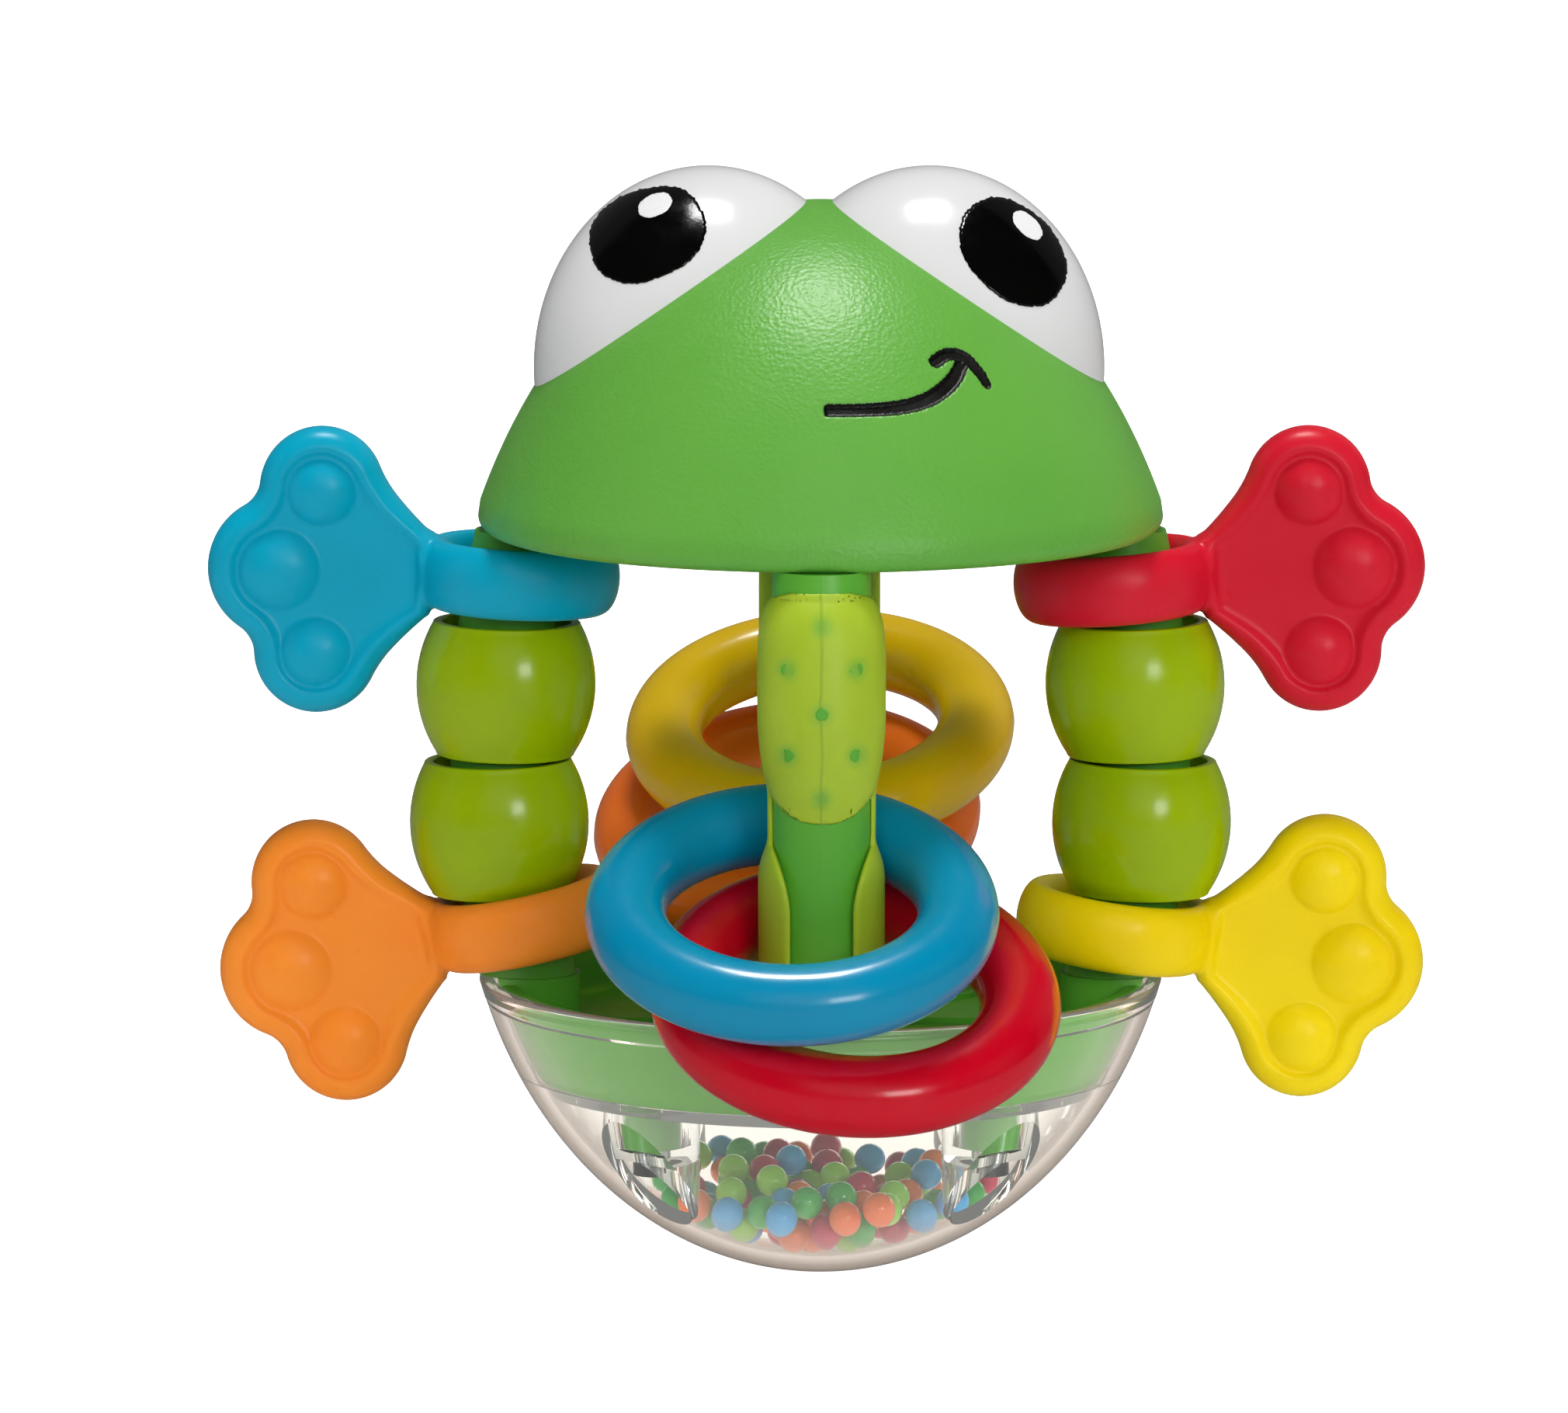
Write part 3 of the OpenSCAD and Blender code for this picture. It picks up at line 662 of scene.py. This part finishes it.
def eye_surface(side, lift):
    middle = np.array([EYE_X[side], 0, EYE_Z])
    half = EYE_HALF + lift

    def surface(xz):
        u = (xz[:, 0] - middle[0]) / half[0]
        w = (xz[:, 1] - middle[2]) / half[2]
        y = -half[1] * np.sqrt(np.maximum(0, 1 - u ** 2 - w ** 2))
        return np.stack([xz[:, 0], y, xz[:, 1]], -1)

    return surface


def add_printed_oval(name, material, side, middle, half, tilt, square, lift, ripple):
    """A thin printed spot on an eye: rings of points from its middle out to a slightly uneven edge."""
    rings, turns = 16, 240
    angle = np.linspace(0, 2 * math.pi, turns, endpoint=False)
    edge = (np.abs(np.cos(angle)) ** square + np.abs(np.sin(angle)) ** square) ** (-1 / square)
    for waves, share in ((7, 0.5), (17, 0.3), (31, 0.35), (53, 0.35), (71, 0.25)):
        edge *= 1 + ripple * share * np.sin(waves * angle + middle[0] * waves)
    turn = math.radians(tilt)
    flat = [np.array([[middle[0], middle[1]]])]
    for i in range(1, rings + 1):
        a = half[0] * np.cos(angle) * edge * i / rings
        b = half[1] * np.sin(angle) * edge * i / rings
        flat.append(np.stack([middle[0] + a * math.cos(turn) - b * math.sin(turn),
                              middle[1] + a * math.sin(turn) + b * math.cos(turn)], -1))
    points = eye_surface(side, lift)(np.concatenate(flat))
    rim = eye_surface(side, -0.02)(flat[-1])
    points = np.concatenate([points, rim])
    start = [1 + turns * i for i in range(rings + 1)]
    faces = [(0, start[0] + j, start[0] + (j + 1) % turns) for j in range(turns)]
    for i in range(rings):
        for j in range(turns):
            k = (j + 1) % turns
            faces.append((start[i] + j, start[i + 1] + j, start[i + 1] + k, start[i] + k))
    add_piece(name, points * MM, faces, material, "cage")


def add_eyes():
    for side in ("left", "right"):
        middle, half, tilt, square = PUPILS[side]
        add_printed_oval(f"pupil_{side}", "pupil_black", side, middle, half, tilt, square, 0.06, 0.016)
        middle, half, tilt = SPOTS[side]
        add_printed_oval(f"pupil_spot_{side}", "pupil_light", side, middle, half, tilt, 2.2, 0.1, 0.03)


# ---------- Hands and feet ----------
CUFF_MID_R, CUFF_HALF_W, CUFF_HALF_H, CUFF_RISE = 10.65, 2.25, 4.5, 0.35
PADDLE_HALF_T = 3.7
FLOOR_HALF_T = 2.6
TOES = [((25.8, 10.5), 8.0, 4.65), ((30.9, 0.0), 9.2, 5.4), ((25.8, -10.5), 8.0, 4.65)]
BUMP_RISE = 2.1
NECK_HALF_H = 5.7


def circle_distance(p, centre, r):
    return np.hypot(p[..., 0] - centre[0], p[..., 1] - centre[1]) - r


def neck_distance(p):
    mid = (CUFF_MID_R + TOES[0][0][0]) / 2
    half = (TOES[0][0][0] - CUFF_MID_R) / 2
    q = np.stack([np.abs(p[..., 0] - mid) - half, np.abs(p[..., 1]) - NECK_HALF_H], -1)
    return np.hypot(*np.moveaxis(np.maximum(q, 0), -1, 0)) + np.minimum(q.max(-1), 0)


def closed_distance(p, shapes, offset_curves, r):
    """Distance to the union of shapes with its hollows rounded to radius r."""
    union = np.min([s(p) for s in shapes], axis=0)
    curve = np.concatenate(offset_curves)
    curve = curve[np.min([s(curve) for s in shapes], axis=0) > r - 1e-3]
    flat = p.reshape(-1, 2)
    chunk = 2000
    gap = np.concatenate([
        np.sqrt(((flat[i:i + chunk, None] - curve[None]) ** 2).sum(-1)).min(1)
        for i in range(0, len(flat), chunk)
    ]).reshape(union.shape)
    return np.where(union > r, union, r - gap)


def circle_curve(centre, r):
    return np.array(arc(centre, r, 0, 360, 700))


def paddle_plan():
    """Grid of the paddle outline's signed distance, and a function that reads it."""
    flare, notch = 16.0, 4.0
    start, end, pitch = (6.0, -22.0), (43.0, 22.0), 0.25
    u = np.arange(start[0], end[0], pitch)
    w = np.arange(start[1], end[1], pitch)
    grid = np.stack(np.meshgrid(u, w, indexing="ij"), -1)
    outer = [TOES[0], TOES[2]]
    shapes = [lambda p, t=t: circle_distance(p, t[0], t[1]) for t in outer] + [neck_distance]
    curves = [circle_curve(t[0], t[1] + flare) for t in outer]
    top = NECK_HALF_H + flare
    sides = np.linspace(CUFF_MID_R, TOES[0][0][0], 300)
    curves += [np.stack([sides, np.full(300, s * top)], -1) for s in (-1, 1)]
    curves += [np.array(arc((x, s * NECK_HALF_H), flare, 0, 360, 500))
               for x in (CUFF_MID_R, TOES[0][0][0]) for s in (-1, 1)]
    palm = closed_distance(grid, shapes, curves, flare)
    shapes = [lambda p, t=t: circle_distance(p, t[0], t[1]) for t in TOES]
    fan = closed_distance(grid, shapes, [circle_curve(t[0], t[1] + notch) for t in TOES], notch)
    table = np.minimum(palm, fan)

    def plan(x, z):
        i = np.clip((x - start[0]) / pitch, 0, len(u) - 1.001)
        j = np.clip((z - start[1]) / pitch, 0, len(w) - 1.001)
        i0, j0 = i.astype(int), j.astype(int)
        fi, fj = i - i0, j - j0
        return ((table[i0, j0] * (1 - fi) + table[i0 + 1, j0] * fi) * (1 - fj)
                + (table[i0, j0 + 1] * (1 - fi) + table[i0 + 1, j0 + 1] * fi) * fj)

    return plan


def paddle_mesh():
    plan = paddle_plan()
    edge_r = 3.2
    border = 3.1

    def field(p):
        x, y, z = p[..., 0], np.abs(p[..., 1]), p[..., 2]
        flat = plan(x, z) + 1.0 * np.clip((16 - x) / 5, 0, 1) ** 2
        qx, qy = flat + edge_r, y - (PADDLE_HALF_T - edge_r)
        plate = np.minimum(np.maximum(qx, qy), 0) + np.hypot(np.maximum(qx, 0), np.maximum(qy, 0)) - edge_r
        width = border - 1.1 * np.clip((23 - x) / 9, 0, 1)
        pocket = smooth_max(flat + width, FLOOR_HALF_T - y, 1.6)
        plate = smooth_max(plate, -pocket, 0.9)
        for centre, _, r in TOES:
            ball = (r ** 2 + BUMP_RISE ** 2) / (2 * BUMP_RISE)
            dome = np.sqrt((x - centre[0]) ** 2 + (y + ball - FLOOR_HALF_T - BUMP_RISE) ** 2
                           + (z - centre[1]) ** 2) - ball
            plate = smooth_min(plate, dome, 0.18)
        across, up = np.hypot(x, p[..., 1]) - CUFF_MID_R, z - CUFF_RISE
        reach = np.hypot(across / CUFF_HALF_W, up / CUFF_HALF_H)
        slope = np.hypot(across / CUFF_HALF_W ** 2, up / CUFF_HALF_H ** 2) / np.maximum(reach, 1e-6)
        cuff = (reach - 1) / np.maximum(slope, 1e-6)
        cuff = np.maximum(cuff, -CUFF_HALF_W)
        return smooth_min(cuff, plate, 2.0)

    return surface_net(field, (-13.6, -13.6, -21), (42, 13.6, 21), 0.36)


def turned(x, z, tilt, flip):
    """Matrix in mm that stands a paddle at (x, z), with its outer end lowered by tilt degrees."""
    half_turn = Matrix.Rotation(math.pi if flip else 0, 4, "Z")
    return Matrix.Translation((x, 0, z)) @ half_turn @ Matrix.Rotation(math.radians(tilt), 4, "Y")


def add_paddles():
    points, faces = paddle_mesh()
    for name, x, z, tilt, shade in (
        ("hand_left", -38.7, 90.2, -2.4, "blue"), ("hand_right", 37.7, 89.5, -4.2, "red"),
        ("foot_left", -38.1, 45.4, 11.4, "orange"), ("foot_right", 38.1, 44.5, 8, "yellow"),
    ):
        matrix = turned(x, z, tilt, x < 0)
        add_piece(f"{name}_paddle", moved(points, matrix), faces, f"paddle_{shade}", name, replaces=[name])


# ---------- Posts and grips ----------
POST_R = 6.2
GRIP_R = 8.05
POST_FOOT_Z, POST_TOP_Z = 38.8, 96.5
POST_END_R, POST_MID_R = 38.0, 41.5
POST_BOW = POST_MID_R - POST_END_R
POST_MID_Z = (POST_FOOT_Z + POST_TOP_Z) / 2
POST_HALF_L = (POST_TOP_Z - POST_FOOT_Z) / 2
POST_ARC_R = (POST_HALF_L ** 2 + POST_BOW ** 2) / (2 * POST_BOW)
PAD_Z, PAD_HALF_H = 80.0, 14.4
DIMPLE_PITCH, DIMPLE_R, DIMPLE_SIDE = 5.35, 0.8, 4.3
DIMPLE_DROP = 0.3
DIMPLES = [
    (side, i * DIMPLE_PITCH)
    for i in range(-2, 3) for side in ((0,) if i % 2 == 0 else (-DIMPLE_SIDE, DIMPLE_SIDE))
]


def from_post_axis(p):
    """Distance from points in a post's own frame to its curved axis."""
    from_arc = np.hypot(p[..., 0] - POST_MID_R + POST_ARC_R, p[..., 2] - POST_MID_Z) - POST_ARC_R
    return np.hypot(from_arc, p[..., 1])


def taper(z, end, reach, power):
    """From 1 far below end to 0 at end."""
    return 1 - np.clip(1 - (end - z) / reach, 0, 1) ** power


def grip_field(p):
    """Distance to the soft pads, the side leaves and the thin strips between them, in a post's own frame."""
    x, y, z = p[..., 0], np.abs(p[..., 1]), p[..., 2]
    q = from_post_axis(p)
    up = z - PAD_Z
    power = 3.3 + 0.7 * np.clip(up / 8, -1, 1)
    half_w = GRIP_R + 0.4
    ay, az = y / half_w, np.abs(up) / PAD_HALF_H
    f = np.maximum((ay ** power + az ** power) ** (1 / power), 1e-3)
    slope = np.hypot((ay / f) ** (power - 1) / half_w, (az / f) ** (power - 1) / PAD_HALF_H)
    outline = (f - 1) / np.maximum(slope, 1e-3)
    swell = np.where(up > 0, 1 - np.clip(up / 13.3, 0, 1) ** 5.5, 1 - np.clip(-up / 12.6, 0, 1) ** 2)
    pad = smooth_max(q - POST_R - 0.35 - 1.52 * swell, outline, 0.5)
    pad = smooth_max(pad, POST_MID_R - 2.6 - x, 0.8)
    leaf_top, leaf_foot = 63.2, 43
    slit = 3.9 + 2.3 * np.clip((z - 54) / 8.5, 0, 2) ** 1.7 - y
    opening = np.where(x > POST_MID_R - 1.5, slit * 0.9, -9)
    leaf = smooth_max(q - POST_R - 0.1 - 1.65 * taper(z, leaf_top, 5.5, 2), opening, 0.9)
    leaf = np.maximum(leaf, np.maximum(z - leaf_top, leaf_foot - z))
    leaf = smooth_max(leaf, POST_MID_R - 3.6 - x, 0.8)
    strip = smooth_max(q - POST_R - 0.6, np.abs(x - POST_MID_R + 0.1) - 1.5, 0.6)
    strip = np.maximum(strip, np.maximum(z - 74, 59 - z))
    whole = smooth_min(smooth_min(pad, strip, 0.5), leaf, 0.5)
    return np.maximum(whole, POST_R + 0.02 - q)


def add_grips():
    points, faces = surface_net(grip_field, (36.5, -9.0, 42.4), (50.8, 9.0, 95.2), 0.26)
    dots, dot_faces = [], []
    angle = np.linspace(0, 2 * math.pi, 48, endpoint=False)
    for n, (side, up) in enumerate(DIMPLES):
        edge = DIMPLE_R * (1 + 0.05 * np.sin(3 * angle + n) + 0.04 * np.sin(5 * angle + 2 * n))
        around = edge[:, None] * np.stack([np.cos(angle), np.sin(angle)], -1)
        middle = np.array([[side, PAD_Z - DIMPLE_DROP + up]])
        flat = np.concatenate([middle] + [middle + f * around for f in (0.4, 0.75, 0.95, 1.0)])
        low, high = np.full(len(flat), POST_MID_R), np.full(len(flat), POST_MID_R + 12.0)
        for _ in range(24):
            mid = (low + high) / 2
            inside = grip_field(np.stack([mid, flat[:, 0], flat[:, 1]], -1)) < 0
            low, high = np.where(inside, mid, low), np.where(inside, high, mid)
        lift = np.full(len(flat), 0.05)
        lift[-len(angle):] = -0.03
        start = n * len(flat)
        dots.append(np.stack([low + lift, flat[:, 0], flat[:, 1]], -1))
        steps = len(angle)
        dot_faces += [(start, start + 1 + j, start + 1 + (j + 1) % steps) for j in range(steps)]
        for ring in range(3):
            first = start + 1 + ring * steps
            for j in range(steps):
                k = (j + 1) % steps
                dot_faces.append((first + j, first + steps + j, first + steps + k, first + k))
    dots = np.concatenate(dots)
    away = np.min([
        np.hypot(points[:, 1] - side, points[:, 2] - PAD_Z + DIMPLE_DROP - up) for side, up in DIMPLES
    ], axis=0)
    halo = np.where(points[:, 0] > POST_MID_R, np.clip((2.1 - away) / 1.5, 0, 1), 0)
    for name, azimuth in (("front", -90), ("back", 90)):
        turn = Matrix.Rotation(math.radians(azimuth), 4, "Z")
        pads = add_piece(f"grip_{name}_pads", moved(points, turn), faces, "grip_lime", "cage",
                         replaces=[f"grip_{name}"])
        pads.data.attributes.new("halo", "FLOAT", "POINT").data.foreach_set("value", halo.astype(np.float32))
        add_piece(f"grip_{name}_dots", moved(dots, turn), dot_faces, "frame_green", "cage")


# ---------- Beads and rings ----------
def add_beads():
    half_h, mid_r, end_r, bore_r, corner, belly = 8.7, 11.55, 9.05, 8.3, 0.35, 0.5
    swell = mid_r - end_r
    arc_r = (half_h ** 2 + swell ** 2) / (2 * swell)
    side = [(mid_r - arc_r + math.sqrt(arc_r ** 2 - (z - belly) ** 2), z)
            for z in np.linspace(corner - half_h, half_h - corner, 33)]
    bottom = (arc((bore_r + 0.3, 0.3 - half_h), 0.3, 180, 270, 5)
              + arc((side[0][0] - corner, corner - half_h), corner, -90, -20, 5))
    top = (arc((side[-1][0] - corner, half_h - corner), corner, 20, 90, 5)
           + arc((bore_r + 0.3, half_h - 0.3), 0.3, 90, 180, 5))
    profile = bottom + side + top
    verts, faces = lathe(profile, 128)
    for side_name, azimuth in (("left", 180), ("right", 0)):
        for level, lean in (("upper", -1), ("lower", 1)):
            node = f"bead_{side_name}_{level}"
            low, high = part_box(node)
            middle = (low + high) / 2 / MM
            spot = Matrix.Translation(middle) @ Matrix.Rotation(math.radians(azimuth), 4, "Z")
            matrix = spot @ Matrix.Rotation(math.radians(lean), 4, "Y")
            add_piece(f"{node}_barrel", moved(verts, matrix), faces, "bead_lime", node,
                      replaces=[node], sharp=60)


# Tilt about X and roll about Y, in degrees
RING_TURN = {"blue": (23.6, 0), "red": (25.9, 3.5), "yellow": (23.1, -3.3), "orange": (22.7, -5.8)}


def add_rings():
    mid_r, tube_r, around, along = 20.75, 5.15, 72, 216
    seam_height, seam_width = 0.05, 0.16
    a = np.linspace(0, 2 * math.pi, around, endpoint=False)
    arc_gap = np.abs((a + math.pi) % (2 * math.pi) - math.pi) * tube_r
    r = tube_r - seam_height + seam_height * np.exp(-(arc_gap / seam_width) ** 2)
    t = np.linspace(0, 2 * math.pi, along, endpoint=False)
    tt, aa = np.meshgrid(t, a, indexing="ij")
    out = mid_r + r[None] * np.cos(aa)
    verts = np.stack([out * np.cos(tt), out * np.sin(tt), r[None] * np.sin(aa)], -1).reshape(-1, 3)
    faces = [
        (i * around + j, ((i + 1) % along) * around + j,
         ((i + 1) % along) * around + (j + 1) % around, i * around + (j + 1) % around)
        for i in range(along) for j in range(around)
    ]
    for shade, (tilt, roll) in RING_TURN.items():
        node = f"ring_{shade}"
        low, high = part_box(node)
        turn = Matrix.Rotation(math.radians(roll), 4, "Y") @ Matrix.Rotation(math.radians(tilt), 4, "X")
        matrix = Matrix.Translation((low + high) / 2 / MM) @ turn
        add_piece(f"{node}_torus", moved(verts, matrix), faces, node, node, replaces=[node])


# ---------- Base ----------
BOWL_A, BOWL_B, BOWL_WALL, RIM_Z = 46.4, 55.9, 2.0, 38.6
BOSS_R, BOSS_HALF = 30.0, 6.0
LID_Z, SHELF_Z = 25.4, 18.5
SEAT_R = 37.6
BASE_STEPS = 192
BOSS_SPOTS = [(BOSS_R * math.cos(a), BOSS_R * math.sin(a)) for a in np.radians([45, 135, 225, 315])]


def bowl_radius(z, inset=0.0):
    a, b = BOWL_A - inset, BOWL_B - inset
    return a * np.sqrt(np.maximum(0, 1 - ((z - BOWL_B) / b) ** 2))


def bowl_arc(z_end, inset, steps):
    """Profile points from the bowl's lowest point up to z_end, evenly spaced along it."""
    a, b = BOWL_A - inset, BOWL_B - inset
    end = math.acos(max(-1, min(1, (BOWL_B - z_end) / b)))
    return [(a * math.sin(t), BOWL_B - b * math.cos(t)) for t in np.linspace(0, end, steps)]


def temp_object(name, verts, faces):
    mesh = bpy.data.meshes.new(name)
    mesh.from_pydata(np.asarray(verts).tolist(), [], [list(map(int, f)) for f in faces])
    mesh.validate()
    obj = bpy.data.objects.new(name, mesh)
    scene.collection.objects.link(obj)
    return obj


def cylinder(spot, r, low, high, steps=64):
    verts, faces = lathe([(0.0, low), (r, low), (r, high), (0.0, high)], steps)
    return verts + np.array([spot[0], spot[1], 0]), faces


def combine(base, operation, others):
    """Applies booleans of others to base, all of them temporary objects, and returns base."""
    for other in others:
        modifier = base.modifiers.new("cut", "BOOLEAN")
        modifier.operation = operation
        modifier.solver = "EXACT"
        modifier.object = other
    evaluated = base.evaluated_get(bpy.context.evaluated_depsgraph_get())
    mesh = bpy.data.meshes.new_from_object(evaluated)
    base.modifiers.clear()
    base.data = mesh
    for other in others:
        bpy.data.objects.remove(other)
    return base


def arrays(obj):
    verts = np.array([v.co for v in obj.data.vertices])
    faces = [list(p.vertices) for p in obj.data.polygons]
    bpy.data.objects.remove(obj)
    return verts, faces


def add_bowl():
    lip_low = 36.2
    ledge_z = LID_Z + 1.6
    wall_top = 1.7
    outer = bowl_arc(lip_low - 0.5, 0, 64)
    step_r = outer[-1][0]
    rim_r = float(bowl_radius(RIM_Z))
    outer += [(step_r - 0.25, lip_low - 0.25), (step_r - 0.22, lip_low)]
    outer += [(step_r + 0.25, lip_low + 0.05), (rim_r - 0.05, RIM_Z - 0.5)]
    outer += arc((rim_r - 0.55, RIM_Z - 0.5), 0.5, 20, 90, 5)
    inner = bowl_arc(ledge_z, BOWL_WALL, 56)
    upper_inner = [(float(bowl_radius(z, wall_top)), z) for z in np.linspace(ledge_z + 0.05, RIM_Z, 12)]
    profile = outer + upper_inner[::-1] + inner[::-1]
    shell = temp_object("bowl_shell", *lathe(profile, BASE_STEPS))
    blocker = lathe(bowl_arc(LID_Z, 0.02, 40) + [(0.0, LID_Z)], BASE_STEPS)
    bosses = []
    for spot in BOSS_SPOTS:
        boss = temp_object("boss", *cylinder(spot, BOSS_HALF, 3.0, LID_Z))
        bosses.append(combine(boss, "INTERSECT", [temp_object("bowl_solid", *blocker)]))
    shell = combine(shell, "UNION", bosses)
    cuts = []
    for spot in BOSS_SPOTS:
        cuts.append(temp_object("well", *cylinder(spot, 4.7, -1.0, SHELF_Z)))
        cuts.append(temp_object("screw_hole", *cylinder(spot, 1.7, SHELF_Z - 1, LID_Z + 1, 32)))
        cuts.append(temp_object("socket", *cylinder(spot, 3.75, SHELF_Z + 2, LID_Z + 1)))
    shell = combine(shell, "DIFFERENCE", cuts)
    verts, faces = arrays(shell)
    add_piece("clear_bowl", verts * MM, faces, "clear_bowl", "cage", replaces=["bowl"], sharp=32)


def add_base_plate():
    gap = BOWL_WALL + 0.2
    rim_w, deck_z, deck_t = 2.6, 32.0, 2.0
    skirt_z = LID_Z + 1.6
    top = RIM_Z - 0.6
    heights = np.linspace(skirt_z, top - 0.8, 24)
    outer = [(float(bowl_radius(z, gap)), float(z)) for z in heights]
    rim_out = float(bowl_radius(top, gap))
    rim_in = float(bowl_radius(RIM_Z, gap)) - rim_w
    crown = arc((rim_out - 0.8, top - 0.8), 0.8, 0, 90, 7) + arc((rim_in + 0.7, top - 0.7), 0.7, 90, 180, 6)
    fillet = arc((rim_in - 1 - 1.2, deck_z + 1.2), 1.2, 0, -90, 7)
    low_r = float(bowl_radius(skirt_z, gap)) - rim_w
    under = [(0.0, deck_z), (0.0, deck_z - deck_t), (low_r, deck_z - deck_t), (low_r, skirt_z)]
    plate = temp_object("plate", *lathe(outer + crown + fillet + under, BASE_STEPS))
    inside = lathe(bowl_arc(POST_FOOT_Z, gap, 40) + [(0.0, POST_FOOT_Z)], BASE_STEPS)
    seats = []
    for azimuth in (0, 90, 180, 270):
        spot = (SEAT_R * math.cos(math.radians(azimuth)), SEAT_R * math.sin(math.radians(azimuth)))
        seat = temp_object("seat", *cylinder(spot, 6.6, deck_z - 1, POST_FOOT_Z))
        seats.append(combine(seat, "INTERSECT", [temp_object("inside", *inside)]))
    posts = [temp_object("screw_post", *cylinder(s, 3.55, SHELF_Z + 2, deck_z - 1)) for s in BOSS_SPOTS]
    ribs = []
    for azimuth in range(0, 360, 45):
        reach = 30.0 if azimuth % 90 == 0 else 37.0
        half_w, height, bevel = 0.6, 0.8, 0.2
        section = [(-half_w, -0.3), (half_w, -0.3), (half_w, height - bevel), (half_w - bevel, height),
                   (bevel - half_w, height), (-half_w, height - bevel)]
        corners = [(x, y, deck_z + z) for x in (9.2, reach) for y, z in section]
        n = len(section)
        sides = [(i, (i + 1) % n, n + (i + 1) % n, n + i) for i in range(n)]
        turn = np.array(Matrix.Rotation(math.radians(azimuth), 3, "Z"))
        ribs.append(temp_object("rib", np.array(corners) @ turn.T,
                                sides + [tuple(range(n))[::-1], tuple(range(n, 2 * n))]))
    ring = lathe([(8.8, deck_z - 0.3), (10.0, deck_z - 0.3), (10.0, deck_z + 0.6), (9.8, deck_z + 0.8),
                  (9.0, deck_z + 0.8), (8.8, deck_z + 0.6)], 96)
    plate = combine(plate, "UNION", seats + posts)
    plate = combine(plate, "UNION", ribs + [temp_object("hub_ring", *ring)])
    cuts = [temp_object("pilot", *cylinder(s, 1.45, SHELF_Z + 1, SHELF_Z + 10, 32)) for s in BOSS_SPOTS]
    plate = combine(plate, "DIFFERENCE", cuts)
    verts, faces = arrays(plate)
    add_piece("base_tray", verts * MM, faces, "frame_green", "cage", replaces=["base_plate"], sharp=32)


def dress_cad_nodes():
    """Gives each CAD node that still shows the material of its slot."""
    slots = {
        "head_plate": "frame_green", "eye_left": "eye_white", "eye_right": "eye_white",
        "chamber_lid": "clear_bowl", "base_screws": "screw_steel",
    }
    slots.update({f"post_{side}": "frame_green" for side in ("front", "back", "left", "right")})
    slots.update({f"balls_{c}": f"ball_{c}" for c in ("coral", "lime", "green", "blue", "crimson")})
    for node, material in slots.items():
        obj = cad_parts[node]
        if not obj.material_slots:
            obj.data.materials.append(MATERIALS[material])
        for slot in obj.material_slots:
            slot.material = MATERIALS[material]


scene.view_settings.view_transform = "Standard"
add_camera()
add_lights()
add_floor()
add_head()
add_mouth()
add_eyes()
add_paddles()
add_grips()
add_beads()
add_rings()
add_bowl()
add_base_plate()
dress_cad_nodes()
